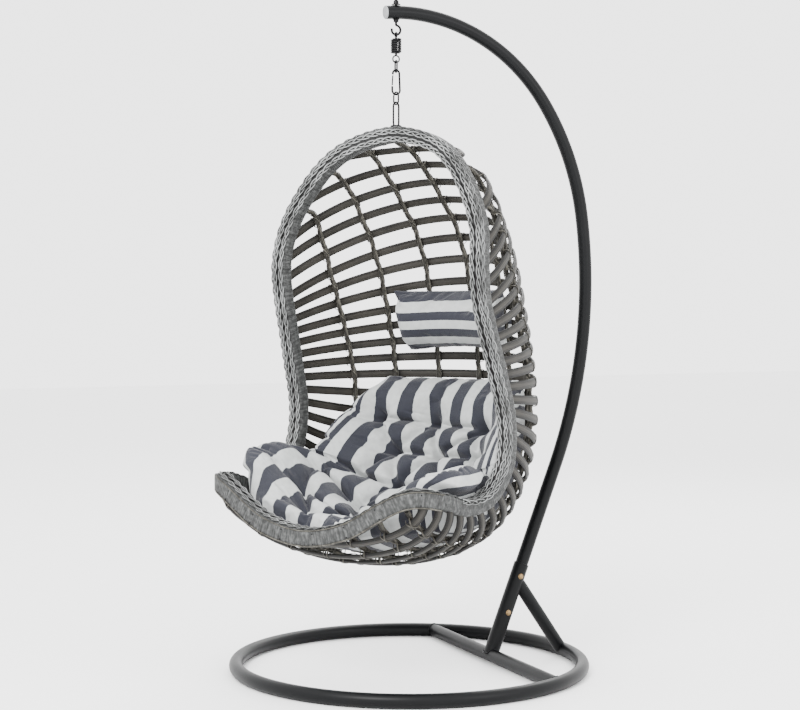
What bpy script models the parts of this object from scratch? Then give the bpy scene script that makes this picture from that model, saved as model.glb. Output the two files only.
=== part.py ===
"""Hanging egg chair: a steel bow stand, a sprung chain and a slatted rattan basket with its cushions.

The basket has its own axes: u to its right, v to its rear and z up, with the origin of u and v on the
line it hangs from. Its surface is a family of half-elliptic hoops, each from one side of the rim round
the back or the underside to the other, and the slats, ribs and cushions all follow that family.
"""
import functools
import math

import bmesh
import bpy
import numpy as np
from mathutils import Matrix, Vector
from mathutils.geometry import distance_point_to_plane

# Driving dimensions, in metres
GAP = 0.0003                      # between touching pieces
FLAT = 0.00002                    # a four-sided face that bends more than this is split in two
FOOTPRINT_CENTRE = (0.0, 0.02156)   # centre of the whole chair's outline, from the ring's centre

RING_RADIUS = 0.505
RING_TUBE = 0.0205                # to the flats of the tube, so its underside is flat on the floor
RING_SIDES = 8
RING_STEPS = 48
TUBE_WALL = 0.0015
VENT_RADIUS = 0.006

CROSS_BAR_Y = 0.265
CROSS_BAR_TUBE = 0.0195
POST_TUBE = 0.0225
POST_BORE = 0.0200
POST_TOP_Z = 0.290
ARM_TUBE = 0.0193
ARM_FOOT_Z = 0.105
TUBE_SIDES = 10
ARM_TIP = (-0.072, 1.9069)        # y and z of the centre line at the open end
ARM_TIP_RISE = math.radians(4.1)
CAP_THICK = 0.004
CAP_PLUG = 0.012
ARM_ARCS = (                      # radius and turn of each arc, or length and no turn
    (0.012, 0.0), (0.550, math.radians(59.8)), (0.792, math.radians(26.7)), (1.525, math.radians(28.5)),
)
BRACE_TUBE = 0.0190
BRACE_TOP = (0.366, 0.216)        # y and z on the post's centre line
POST_BOLT_Z = (0.148, 0.254)
BOLT_SHANK = 0.0040
NUT_THICK = 0.007
NUT_RADIUS = 0.0065
BOLT_HEAD = ((0.0075, 0.0), (0.0070, 0.0025), (0.0045, 0.0042))   # radius, distance from the post
BOLT_STUB = 0.003                 # thread left showing past the nut

HANG_Y = -0.041                   # the chain hangs here, in the stand's plane
HOOK_WIRE = 0.0035
HOOK_BEND = 0.0135
HOOK_CENTRE_Z = 1.858
HOOK_SWEEP = math.radians(285)    # how far the open hook bends round
SHANK_TOP_Z = 1.9401
DOME_FOOT_Z = 1.9302
DOME_NUT = ((0.0105, 0.0), (0.0105, 0.002), (0.0078, 0.002), (0.0078, 0.009), (0.0055, 0.0145), (0.0, 0.0162))
LOCK_NUT_Z = (1.8872, 1.8802)
LOCK_NUT_RADIUS = 0.0070
SPRING_WIRE = 0.0022
SPRING_MEAN = 0.0138
SPRING_TURNS = 8
SPRING_PITCH = 0.0050
TOP_EYE_BEND = 0.0068
LOWER_EYE_BEND = 0.0100
EYE_STEPS = 14
STEM_RADIUS = 0.0032
STEM_BITE = 0.0009                # the stem runs this far past the middle of the eye's wire
STEM_SHOWN = (0.0010, 0.0030)     # bare stem above the coil and below it
PLUG_LONG = 0.008
PLUG_SLACK = 0.0012               # between the plug and the inside of the coil
LINK_WIRE = 0.0025
LINK_GAP = 0.0010                 # between two linked wires
UPPER_LINK_BEND = 0.0075
UPPER_LINK_LONG = 0.0335          # between the centres of its wire at top and bottom
LOWER_LINK_LONG = 0.0355
SNAP_LONG = 0.070
SNAP_WIRE = 0.0030
SNAP_BEND = 0.0120
SNAP_NOSE = 0.0100
SNAP_BEAK = 0.003                 # straight wire past the nose bend
GATE_RISE = 0.027                 # the gate's hinge above the floor of the snap hook
GATE_WIRE = 0.0021
GATE_ENDS = (0.0012, 0.0026)      # past its hinge, and short of the beak
SNAP_STUB = 0.0036                # the snap hook's wire ends this far below the gate's hinge
HANGER_WIRE = 0.0028
HANGER_BEND = 0.0125
HANGER_FOOT = ((0.0165, 0.0), (0.0165, 0.004), (0.0145, 0.006), (0.0, 0.006))
HANGER_LEG = (0.003, 0.014)       # above the foot, where the legs start and where they stand full width
HANGER_TUCK = 0.002
LOWER_LINK_BEND = 0.0110
LOWER_LINK_TURN = math.radians(15)

BASKET_TURN = math.radians(29.5)  # the basket at rest has turned this far on its chain
RIM_WIDE = 0.045                  # across the rim's braided front face
RIM_DEEP = 0.050                  # from its front face to its rear face
RIM_CHAMFER = 0.010
RIM_STEPS = 80
RIM_HALF = (                      # u, v, z down one side, from the top to the middle of the front lip
    (0.000, 0.000, 1.556), (0.144, -0.012, 1.527), (0.238, -0.032, 1.465), (0.312, -0.055, 1.365),
    (0.350, -0.073, 1.275), (0.361, -0.087, 1.180), (0.361, -0.077, 1.084), (0.365, -0.054, 1.001),
    (0.373, -0.021, 0.891), (0.380, 0.010, 0.780), (0.385, 0.013, 0.690), (0.388, -0.012, 0.610),
    (0.384, -0.080, 0.540), (0.378, -0.180, 0.521), (0.374, -0.290, 0.550), (0.340, -0.365, 0.563),
    (0.270, -0.388, 0.530), (0.150, -0.398, 0.465), (0.000, -0.400, 0.437),
)
SPINE = (                         # v, z from the top of the rim round the back to the front lip
    (0.000, 1.556), (0.075, 1.530), (0.150, 1.475), (0.235, 1.390), (0.305, 1.310), (0.350, 1.225),
    (0.380, 1.130), (0.410, 1.000), (0.427, 0.870), (0.420, 0.740), (0.380, 0.610), (0.290, 0.485),
    (0.155, 0.385), (0.000, 0.335), (-0.160, 0.335), (-0.300, 0.370), (-0.400, 0.437),
)
SLATS = 28
SLAT_WIDE = 0.026
SLAT_IN = 0.004                   # the slat's flat side lies this far inside its hoop
SLAT_OUT = 0.005
SLAT_STEPS = 16
HOOP_ON_RIM = ((-1, 0.0), (0, 0.24), (1, 0.42), (2, 0.52), (5, 0.69), (17, 1.12), (27, 1.54), (28, 1.949))
HOOP_ON_SPINE = ((-1, 0.0), (0, 0.097), (8, 0.659), (12, 0.882), (27, 2.0), (28, 2.0398))
HOOP_OUT = 0.012                  # the hoops start this far outside the rim's centre line
HOOP_BACK = 0.015                 # and this far behind it
RIB_PLACES = (-0.325, -0.245, -0.133, 0.0, 0.133, 0.245, 0.325)
RIB_RADIUS = 0.0070
RIB_INSET = 0.0165                # centre of a rib inside the hoops
RIB_STEPS = 26
FASCIA_FIRST = 31                 # the rim's station where the fascia begins
FASCIA_THICK = 0.005
CUSHION_INSET = 0.032             # underside of the cushions inside the hoops
SEAT_ROWS = (                     # hoop, half width, thickness, share of the thickness left at the sides
    (27.0, 0.215, 0.050, 2.30), (26.4, 0.285, 0.070, 2.46), (25.4, 0.325, 0.090, 2.24),
    (24.0, 0.338, 0.115, 1.90), (22.4, 0.340, 0.135, 1.70), (20.8, 0.340, 0.150, 1.41),
    (19.4, 0.338, 0.160, 1.00), (17.6, 0.335, 0.168, 0.77), (15.5, 0.328, 0.150, 0.70),
    (14.2, 0.312, 0.125, 0.72), (13.0, 0.290, 0.100, 0.70), (12.0, 0.255, 0.060, 0.58),
)
ARM_REST_LIFT = 1.5               # how upright the seat's sides stand, against leaning with the hoops
ARM_REST_U = (0.12, 0.30)         # from no lift to all of it, across the basket
ARM_REST_HOOPS = (18, 21)         # and down the hoops
PILLOW_ROWS = (
    (10.60, 0.198, 0.020, 0.30), (10.0, 0.212, 0.070, 0.35), (8.7, 0.215, 0.090, 0.35),
    (7.4, 0.212, 0.070, 0.35), (6.85, 0.203, 0.020, 0.30),
)
PILLOW_U = -0.020                 # the pillow hangs this far off the middle
TIE_INSET = 0.012
TIE_THICK = 0.002
TIE_WIDE = 0.012
TIE_U = 0.175                     # each tie from the middle of the pillow
TIE_HOOPS = (9.6, 9.0, 8.4)

BLACK = (0.028, 0.030, 0.034)
BRASS = (0.55, 0.30, 0.14)
GREY_CAP = (0.45, 0.46, 0.47)
BRAID_GREY = (0.30, 0.30, 0.295)
SLAT_BROWN = (0.105, 0.095, 0.080)
RIB_GREY = (0.20, 0.19, 0.165)
NAVY = (0.060, 0.068, 0.105)


# Materials and plain mesh helpers

def material(name, colour, roughness, metallic=0.0):
    found = bpy.data.materials.get(name)
    if found:
        return found
    made = bpy.data.materials.new(name)
    made.use_nodes = True
    shader = made.node_tree.nodes["Principled BSDF"]
    shader.inputs["Base Color"].default_value = (*colour, 1.0)
    shader.inputs["Roughness"].default_value = roughness
    shader.inputs["Metallic"].default_value = metallic
    return made


def steel():
    return material("stand_black", BLACK, 0.45, 0.3)


def chain_black():
    return material("chain_black", BLACK, 0.35, 0.6)


def add_object(name, mesh, finish, parent=None, origin=(0, 0, 0)):
    """An object whose mesh is given in its parent's axes and whose own origin is put at origin."""
    mesh.transform(Matrix.Translation(-Vector(origin)))
    mesh.materials.clear()
    mesh.materials.append(finish)
    mesh.shade_smooth()
    mesh.set_sharp_from_angle(angle=math.radians(38))
    made = bpy.data.objects.new(name, mesh)
    made.location = origin
    made.parent = parent
    bpy.context.scene.collection.objects.link(made)
    return made


def finish_mesh(name, bm):
    bmesh.ops.recalc_face_normals(bm, faces=bm.faces)
    mesh = bpy.data.meshes.new(name)
    bm.to_mesh(mesh)
    bm.free()
    return mesh


def make_cutter(name, mesh, parent):
    cutter = add_object(name, mesh, steel(), parent)
    cutter.hide_render = True
    cutter.display_type = "WIRE"
    return cutter


def boolean(target, cutter, operation="DIFFERENCE"):
    step = target.modifiers.new(cutter.name, "BOOLEAN")
    step.operation = operation
    step.solver = "EXACT"
    step.object = cutter


def circle_section(radius, sides, turn=0.0):
    """Corners of a regular polygon whose flats are radius from its centre."""
    corner = radius / math.cos(math.pi / sides)
    angles = [turn + 2 * math.pi * (i + 0.5) / sides for i in range(sides)]
    return [(corner * math.cos(a), corner * math.sin(a)) for a in angles]


def sweep_rings(bm, stations, section):
    """One ring of vertices at each station (point, side, up) for a section given along side and up."""
    rings = []
    for point, side, up in stations:
        rings.append([bm.verts.new(point + side * a + up * b) for a, b in section])
    return rings


def skin(bm, rings, closed):
    """Faces between neighbouring rings, all split along the same diagonal where the rings twist."""
    count = len(rings)
    sides = len(rings[0])
    for i in range(count if closed else count - 1):
        here = rings[i]
        there = rings[(i + 1) % count]
        for j in range(sides):
            k = (j + 1) % sides
            quad = (here[j], here[k], there[k], there[j])
            normal = (quad[1].co - quad[0].co).cross(quad[2].co - quad[0].co)
            if abs(distance_point_to_plane(quad[3].co, quad[0].co, normal)) < FLAT:
                bm.faces.new(quad)
            else:
                bm.faces.new(quad[:3])
                bm.faces.new((quad[0], quad[2], quad[3]))


def sweep(name, stations, section, bore=None, closed=False):
    """A solid swept along the stations; bore, with as many corners, is a hollow open at both ends."""
    bm = bmesh.new()
    outer = sweep_rings(bm, stations, section)
    skin(bm, outer, closed)
    if bore:
        inner = sweep_rings(bm, stations, bore)
        skin(bm, inner, closed)
        for end in (0, -1):
            skin(bm, [outer[end], inner[end]], False)
    elif not closed:
        bm.faces.new(outer[0])
        bm.faces.new(outer[-1])
    return finish_mesh(name, bm)


def planar_stations(points, normal):
    """Stations along points that lie in a plane: side is the plane's normal."""
    side = Vector(normal).normalized()
    spots = [Vector(p) for p in points]
    stations = []
    for i, spot in enumerate(spots):
        along = (spots[min(i + 1, len(spots) - 1)] - spots[max(i - 1, 0)]).normalized()
        stations.append((spot, side, side.cross(along).normalized()))
    return stations


def rod(name, points, radius, sides, normal, turn=0.0):
    return sweep(name, planar_stations(points, normal), circle_section(radius, sides, turn))


def cylinder(name, start, end, radius, sides, bore=None):
    along = (Vector(end) - Vector(start)).normalized()
    side = along.orthogonal().normalized() if abs(along.x) > 0.5 else Vector((1, 0, 0))
    stations = [(Vector(p), side, side.cross(along).normalized()) for p in (start, end)]
    hollow = circle_section(bore, sides) if bore else None
    return sweep(name, stations, circle_section(radius, sides), hollow)


def turned(name, profile, sides, centre):
    """A solid of revolution about the vertical through centre, from (radius, z) pairs, ends on the axis."""
    bm = bmesh.new()
    rings = []
    for radius, z in profile:
        if radius == 0:
            rings.append([bm.verts.new((centre[0], centre[1], z))])
            continue
        angles = [2 * math.pi * i / sides for i in range(sides)]
        rings.append([bm.verts.new((centre[0] + radius * math.cos(a), centre[1] + radius * math.sin(a), z))
                      for a in angles])
    for here, there in zip(rings, rings[1:]):
        for i in range(sides):
            k = (i + 1) % sides
            if len(here) == 1:
                bm.faces.new((here[0], there[i], there[k]))
            elif len(there) == 1:
                bm.faces.new((here[i], here[k], there[0]))
            else:
                bm.faces.new((here[i], here[k], there[k], there[i]))
    return finish_mesh(name, bm)


# Curves

def arc(centre, radius, start, end, steps):
    """Points of an arc in a plane, from angle start to angle end."""
    turn = (end - start) / steps
    return [(centre[0] + radius * math.cos(start + i * turn), centre[1] + radius * math.sin(start + i * turn))
            for i in range(steps + 1)]


def smooth_curve(points, steps=24):
    """A curve through the points, with evenly stepped Catmull-Rom spans."""
    spots = np.array(points, float)
    spots = np.vstack([2 * spots[0] - spots[1], spots, 2 * spots[-1] - spots[-2]])
    out = []
    for i in range(1, len(spots) - 2):
        a, b, c, d = spots[i - 1:i + 3]
        for k in range(steps):
            t = k / steps
            out.append(0.5 * (2 * b + (c - a) * t + (2 * a - 5 * b + 4 * c - d) * t * t
                              + (3 * b - a - 3 * c + d) * t ** 3))
    out.append(spots[-2])
    return np.array(out)


def lengths_along(curve):
    return np.concatenate([[0.0], np.cumsum(np.linalg.norm(np.diff(curve, axis=0), axis=1))])


def at_length(curve, lengths, where):
    return np.array([np.interp(where, lengths, curve[:, i]) for i in range(curve.shape[1])])


# The basket's surface

def mirrored(point):
    return (-point[0], point[1], point[2])


def rim_curve():
    """The rim's centre line down the side with positive u, smooth across the top and the lip."""
    before = [mirrored(p) for p in RIM_HALF[2:0:-1]]
    after = [mirrored(p) for p in RIM_HALF[-2:-4:-1]]
    steps = 24
    whole = smooth_curve(before + list(RIM_HALF) + after, steps)
    return whole[2 * steps:len(whole) - 2 * steps]


RIM = rim_curve()
RIM_LENGTHS = lengths_along(RIM)
SPINE_CURVE = smooth_curve([(0.0, v, z) for v, z in SPINE])
SPINE_LENGTHS = lengths_along(SPINE_CURVE)


def rim_frame_at(where):
    """Centre, outward and frontward directions of the rim at a length from its top, on the side u > 0."""
    span = 0.006
    total = RIM_LENGTHS[-1]
    centre = at_length(RIM, RIM_LENGTHS, where)
    ahead = at_length(RIM, RIM_LENGTHS, min(where + span, total))
    behind = at_length(RIM, RIM_LENGTHS, max(where - span, 0.0))
    if where + span > total:
        ahead = behind * np.array([-1, 1, 1])
    if where - span < 0:
        behind = ahead * np.array([-1, 1, 1])
    along = Vector(ahead - behind).normalized()
    lean = np.interp(where, (1.05, 1.42), (0.0, math.pi / 2))
    front = Vector((0, -math.cos(lean), math.sin(lean)))
    front = (front - along * front.dot(along)).normalized()
    outward = front.cross(along).normalized()
    if outward.dot(Vector((centre[0], 0.0, centre[2] - 1.0))) < 0 and where < 1.0:
        outward = -outward
    elif where >= 1.0 and outward.dot(Vector((centre[0], centre[1], 0.0))) < 0:
        outward = -outward
    return Vector(centre), outward, front


@functools.lru_cache(maxsize=None)
def hoop_ends(index):
    """Where hoop number index starts on the rim and where it crosses the spine."""
    on_rim = np.interp(index, [i for i, _ in HOOP_ON_RIM], [s for _, s in HOOP_ON_RIM])
    on_spine = np.interp(index, [i for i, _ in HOOP_ON_SPINE], [s for _, s in HOOP_ON_SPINE])
    centre, outward, front = rim_frame_at(on_rim)
    start = centre + outward * HOOP_OUT - front * HOOP_BACK
    return start, Vector(at_length(SPINE_CURVE, SPINE_LENGTHS, on_spine))


def surface_point(index, angle):
    """A point of a hoop: angle 0 is the rim at u > 0 and pi is the rim at u < 0."""
    start, spine = hoop_ends(index)
    back = math.sin(angle)
    return Vector((start.x * math.cos(angle), start.y + (spine.y - start.y) * back,
                   start.z + (spine.z - start.z) * back))


def surface_axes(index, angle):
    """Unit directions at a point of the surface: along the hoop, across it and into the basket."""
    along = surface_point(index, angle + 0.02) - surface_point(index, angle - 0.02)
    down = surface_point(min(index + 0.125, SLATS), angle) - surface_point(max(index - 0.125, -1), angle)
    inward = along.cross(down).normalized()
    along.normalize()
    return along, inward.cross(along), inward


def inset_point(index, u, inset):
    """The point at a given u, inset from the surface near hoop number index, or None past its ends."""
    angles = np.linspace(math.pi / 2, 0, 24)
    spots = [surface_point(index, a) + surface_axes(index, a)[2] * inset for a in angles]
    widths = np.maximum.accumulate([p.x for p in spots])
    if abs(u) >= widths[-1]:
        return None
    where = np.interp(abs(u), widths, range(len(spots)))
    low = min(int(where), len(spots) - 2)
    spot = spots[low].lerp(spots[low + 1], where - low)
    return Vector((u, spot.y, spot.z))


# Stand

def arm_path(steps=8):
    """The arm's centre line in y and z: a short straight tip, three arcs and a straight leg."""
    y, z = ARM_TIP
    heading = ARM_TIP_RISE
    points = [(y, z)]
    for size, turn in ARM_ARCS:
        if turn == 0:
            y += size * math.cos(heading)
            z += size * math.sin(heading)
            points.append((y, z))
            continue
        for _ in range(steps):
            chord = 2 * size * math.sin(turn / steps / 2)
            y += chord * math.cos(heading - turn / steps / 2)
            z += chord * math.sin(heading - turn / steps / 2)
            heading -= turn / steps
            points.append((y, z))
    leg = (z - ARM_FOOT_Z) / -math.sin(heading)
    points.append((y + leg * math.cos(heading), ARM_FOOT_Z))
    return points


def post_line(z):
    """The point of the post's and the arm leg's shared centre line at height z."""
    (y0, z0), (y1, z1) = arm_path()[-2:]
    return Vector((0, y0 + (z - z0) * (y1 - y0) / (z1 - z0), z))


def ring_solid(name, tube, sides):
    stations = []
    for i in range(RING_STEPS):
        angle = 2 * math.pi * i / RING_STEPS
        out = Vector((math.cos(angle), math.sin(angle), 0))
        stations.append((out * RING_RADIUS + Vector((0, 0, RING_TUBE)), out, Vector((0, 0, 1))))
    return sweep(name, stations, circle_section(tube, sides), closed=True)


def build_ring(stand):
    """The ring is hollow, and vented into the cross bar at both of the bar's ends."""
    ring = add_object("base_ring", ring_solid("base_ring", RING_TUBE, RING_SIDES), steel(), stand)
    boolean(ring, make_cutter("ring_bore", ring_solid("ring_bore", RING_TUBE - TUBE_WALL, RING_SIDES), stand))
    reach = math.sqrt(RING_RADIUS ** 2 - CROSS_BAR_Y ** 2)
    ends = [(side * reach, CROSS_BAR_Y, RING_TUBE) for side in (-1, 1)]
    boolean(ring, make_cutter("ring_vent", cylinder("ring_vent", *ends, VENT_RADIUS, 8), stand))
    return make_cutter("ring_cutter", ring_solid("ring_cutter", RING_TUBE + 2 * GAP, RING_SIDES), stand)


def build_cross_bar(stand, ring_cutter):
    reach = math.sqrt(RING_RADIUS ** 2 - CROSS_BAR_Y ** 2)
    ends = [(side * reach, CROSS_BAR_Y, RING_TUBE) for side in (-1, 1)]
    mesh = cylinder("cross_bar", *ends, CROSS_BAR_TUBE, TUBE_SIDES, CROSS_BAR_TUBE - TUBE_WALL)
    bar = add_object("cross_bar", mesh, steel(), stand)
    boolean(bar, ring_cutter)
    fat = cylinder("bar_cutter", *ends, CROSS_BAR_TUBE + 2 * GAP, TUBE_SIDES)
    return make_cutter("bar_cutter", fat, stand)


def build_post(stand, bar_cutter):
    start = post_line(RING_TUBE)
    end = post_line(POST_TOP_Z)
    mesh = cylinder("lower_post", start, end, POST_TUBE, TUBE_SIDES, POST_BORE)
    post = add_object("lower_post", mesh, steel(), stand)
    boolean(post, bar_cutter)
    fat = cylinder("post_cutter", post_line(-RING_TUBE), end, POST_TUBE + 2 * GAP, TUBE_SIDES)
    return post, make_cutter("post_cutter", fat, stand)


def build_brace(stand, ring_cutter, post_cutter):
    """Its ends stop inside the cutters, which shape them to the post and the ring."""
    top = Vector((0, *BRACE_TOP))
    foot = Vector((0, RING_RADIUS, RING_TUBE))
    mesh = cylinder("rear_brace", top, foot, BRACE_TUBE, TUBE_SIDES, BRACE_TUBE - TUBE_WALL)
    brace = add_object("rear_brace", mesh, steel(), stand)
    boolean(brace, post_cutter)
    boolean(brace, ring_cutter)


def build_arm(stand):
    points = [(0, y, z) for y, z in arm_path()]
    stations = planar_stations(points, (1, 0, 0))
    bore = circle_section(ARM_TUBE - TUBE_WALL, TUBE_SIDES)
    mesh = sweep("arm", stations, circle_section(ARM_TUBE, TUBE_SIDES), bore)
    arm = add_object("arm", mesh, steel(), stand)
    along = (Vector(points[1]) - Vector(points[0])).normalized()
    tip = Vector(points[0])
    disc = cylinder("arm_end_cap", tip - along * CAP_THICK, tip - along * GAP, ARM_TUBE, TUBE_SIDES)
    cap = add_object("arm_end_cap", disc, material("cap_grey", GREY_CAP, 0.5), stand)
    plug = cylinder("cap_plug", tip - along * CAP_THICK / 2, tip + along * CAP_PLUG,
                    ARM_TUBE - TUBE_WALL - 2 * GAP, TUBE_SIDES)
    boolean(cap, make_cutter("cap_plug", plug, stand), "UNION")
    return arm


def build_post_bolts(stand, arm, post):
    """Each bolt is one piece with the nut on its far end."""
    out = Vector((1, 0, 0))
    seat = POST_TUBE + 2 * GAP
    nut = -seat - NUT_THICK
    profile = [(BOLT_SHANK, nut - BOLT_STUB), (BOLT_SHANK, nut), (NUT_RADIUS, nut), (NUT_RADIUS, -seat),
               (BOLT_SHANK, -seat), (BOLT_SHANK, seat)]
    profile += [(radius, seat + rise) for radius, rise in BOLT_HEAD]
    for name, z in (("post_bolt_lower", POST_BOLT_Z[0]), ("post_bolt_upper", POST_BOLT_Z[1])):
        spot = post_line(z)
        hole = cylinder("hole", spot - out * ARM_TUBE * 2, spot + out * ARM_TUBE * 2, BOLT_SHANK + 2 * GAP, 8)
        cutter = make_cutter(f"{name}_hole", hole, stand)
        boolean(arm, cutter)
        boolean(post, cutter)
        bm = bmesh.new()
        rings = []
        for radius, along in profile:
            rings += sweep_rings(bm, [(spot + out * along, Vector((0, 1, 0)), Vector((0, 0, 1)))],
                                 circle_section(radius, 8))
        skin(bm, rings, False)
        bm.faces.new(rings[0])
        bm.faces.new(rings[-1])
        add_object(name, finish_mesh(name, bm), material("bolt_brass", BRASS, 0.3, 0.9), stand)


# Suspension

def hang(y, z, x=0.0):
    return (x, HANG_Y + y, z)


def build_hook(stand, arm):
    """The hook bolt runs down through the arm and bends to an open hook below it."""
    quarter = math.pi / 2
    bend = arc((0, HOOK_CENTRE_Z), HOOK_BEND, quarter, quarter - HOOK_SWEEP, 16)
    shank = [(0, SHANK_TOP_Z), (0, LOCK_NUT_Z[0]), (0, HOOK_CENTRE_Z + HOOK_BEND + 0.002)]
    points = [hang(y, z) for y, z in shank + bend[1:]]
    add_object("hook_bolt", rod("hook_bolt", points, HOOK_WIRE, 8, (1, 0, 0)), chain_black(), stand)
    hole = cylinder("hook_hole", hang(0, SHANK_TOP_Z), hang(0, LOCK_NUT_Z[0]), HOOK_WIRE + 3 * GAP, 8)
    boolean(arm, make_cutter("hook_hole", hole, stand))
    bore = HOOK_WIRE / math.cos(math.pi / 8) + GAP
    roof = SHANK_TOP_Z + 2 * GAP
    cap = [(r, DOME_FOOT_Z + rise) for r, rise in DOME_NUT]
    dome = [(0.0, roof), (bore, roof), (bore, DOME_FOOT_Z)] + cap
    add_object("hook_dome_nut", turned("hook_dome_nut", dome, 12, hang(0, 0)[:2]), chain_black(), stand)
    ends = [hang(0, z) for z in LOCK_NUT_Z]
    nut = cylinder("hook_lock_nut", *ends, LOCK_NUT_RADIUS, 6, bore)
    add_object("hook_lock_nut", nut, chain_black(), stand)


def stadium(half_width, top, bottom, steps=6):
    """Points of an upright closed loop with round ends, as (sideways, z)."""
    upper = arc((0, top - half_width), half_width, 0, math.pi, steps)
    lower = arc((0, bottom + half_width), half_width, math.pi, 2 * math.pi, steps)
    return upper + lower


def closed_link(name, half_width, top, bottom, wire, across):
    """A welded link in the vertical plane that holds the direction across."""
    across = Vector(across).normalized()
    normal = across.cross(Vector((0, 0, 1)))
    spots = [Vector(hang(0, z)) + across * s for s, z in stadium(half_width, top, bottom)]
    stations = []
    for i, spot in enumerate(spots):
        along = (spots[(i + 1) % len(spots)] - spots[i - 1]).normalized()
        stations.append((spot, normal, normal.cross(along).normalized()))
    return sweep(name, stations, circle_section(wire, 6), closed=True)


HOOK_FLOOR = HOOK_CENTRE_Z - HOOK_BEND                       # centre of the hook's wire at its lowest
EYE_TOP = HOOK_FLOOR + HOOK_WIRE + SPRING_WIRE + LINK_GAP
COIL_TOP = EYE_TOP - 2 * TOP_EYE_BEND - SPRING_WIRE - STEM_SHOWN[0]
COIL_BOTTOM = COIL_TOP - SPRING_TURNS * SPRING_PITCH - 2 * SPRING_WIRE
LOWER_EYE_TOP = COIL_BOTTOM - SPRING_WIRE - STEM_SHOWN[1]
LOWER_EYE_FLOOR = LOWER_EYE_TOP - 2 * LOWER_EYE_BEND
UPPER_LINK_TOP = LOWER_EYE_FLOOR + SPRING_WIRE + LINK_WIRE + LINK_GAP
UPPER_LINK_FLOOR = UPPER_LINK_TOP - UPPER_LINK_LONG
SNAP_TOP = UPPER_LINK_FLOOR + LINK_WIRE + SNAP_WIRE + LINK_GAP
SNAP_FLOOR = SNAP_TOP - SNAP_LONG
LOWER_LINK_TOP = SNAP_FLOOR + SNAP_WIRE + LINK_WIRE + LINK_GAP
LOWER_LINK_FLOOR = LOWER_LINK_TOP - LOWER_LINK_LONG
HANGER_TOP = LOWER_LINK_FLOOR + LINK_WIRE + HANGER_WIRE + LINK_GAP
RIM_CREST = RIM_HALF[0][2] + RIM_WIDE / 2
GATE_HINGE = (-SNAP_BEND, SNAP_FLOOR + GATE_RISE)


def spring_end(name, eye, stem_end_z, plug_z, across, parent, pivot_z):
    """An eye on a stem whose round plug sits inside the end of the coil."""
    centre_z, bend = eye
    across = Vector(across)
    normal = across.cross(Vector((0, 0, 1)))
    ring = []
    for i in range(EYE_STEPS):
        angle = 2 * math.pi * i / EYE_STEPS
        spot = Vector(hang(0, centre_z + bend * math.sin(angle))) + across * (bend * math.cos(angle))
        out = Vector((0, 0, math.sin(angle))) + across * math.cos(angle)
        ring.append((spot, normal, out))
    mesh = sweep(name, ring, circle_section(SPRING_WIRE, 6), closed=True)
    eye = add_object(name, mesh, chain_black(), parent, hang(0, pivot_z))
    plug_radius = SPRING_MEAN - SPRING_WIRE - PLUG_SLACK
    low, high = sorted(plug_z)
    stem_side = high if stem_end_z > high else low
    profile = [(0.0, low), (plug_radius, low), (plug_radius, high), (0.0, high)]
    if stem_side == high:
        profile[3:] = [(STEM_RADIUS, high), (STEM_RADIUS, stem_end_z), (0.0, stem_end_z)]
    else:
        profile[:1] = [(0.0, stem_end_z), (STEM_RADIUS, stem_end_z), (STEM_RADIUS, low)]
    plug = make_cutter(f"{name}_plug", turned(f"{name}_plug", profile, 10, hang(0, 0)[:2]), parent)
    boolean(eye, plug, "UNION")


def build_spring(top_pivot, slide):
    inset = STEM_SHOWN[0]
    top_eye = (EYE_TOP - TOP_EYE_BEND, TOP_EYE_BEND)
    lower_eye = (LOWER_EYE_TOP - LOWER_EYE_BEND, LOWER_EYE_BEND)
    spring_end("spring_top_hook", top_eye, EYE_TOP - 2 * TOP_EYE_BEND + STEM_BITE,
               (COIL_TOP - inset - PLUG_LONG, COIL_TOP - inset), (1, 0, 0), top_pivot, EYE_TOP)
    spring_end("spring_bottom_hook", lower_eye, LOWER_EYE_TOP - STEM_BITE,
               (COIL_BOTTOM + inset, COIL_BOTTOM + inset + PLUG_LONG), (0, 1, 0), slide, LOWER_EYE_TOP)
    steps = 10
    stations = []
    for i in range(SPRING_TURNS * steps + 1):
        angle = 2 * math.pi * i / steps
        out = Vector((math.cos(angle), math.sin(angle), 0))
        z = COIL_TOP - SPRING_WIRE - SPRING_PITCH * i / steps
        stations.append((Vector(hang(0, z)) + out * SPRING_MEAN, out, Vector((0, 0, 1))))
    mesh = sweep("spring_coil", stations, circle_section(SPRING_WIRE, 5, math.pi / 2))
    add_object("spring_coil", mesh, chain_black(), top_pivot, hang(0, COIL_TOP))


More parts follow.
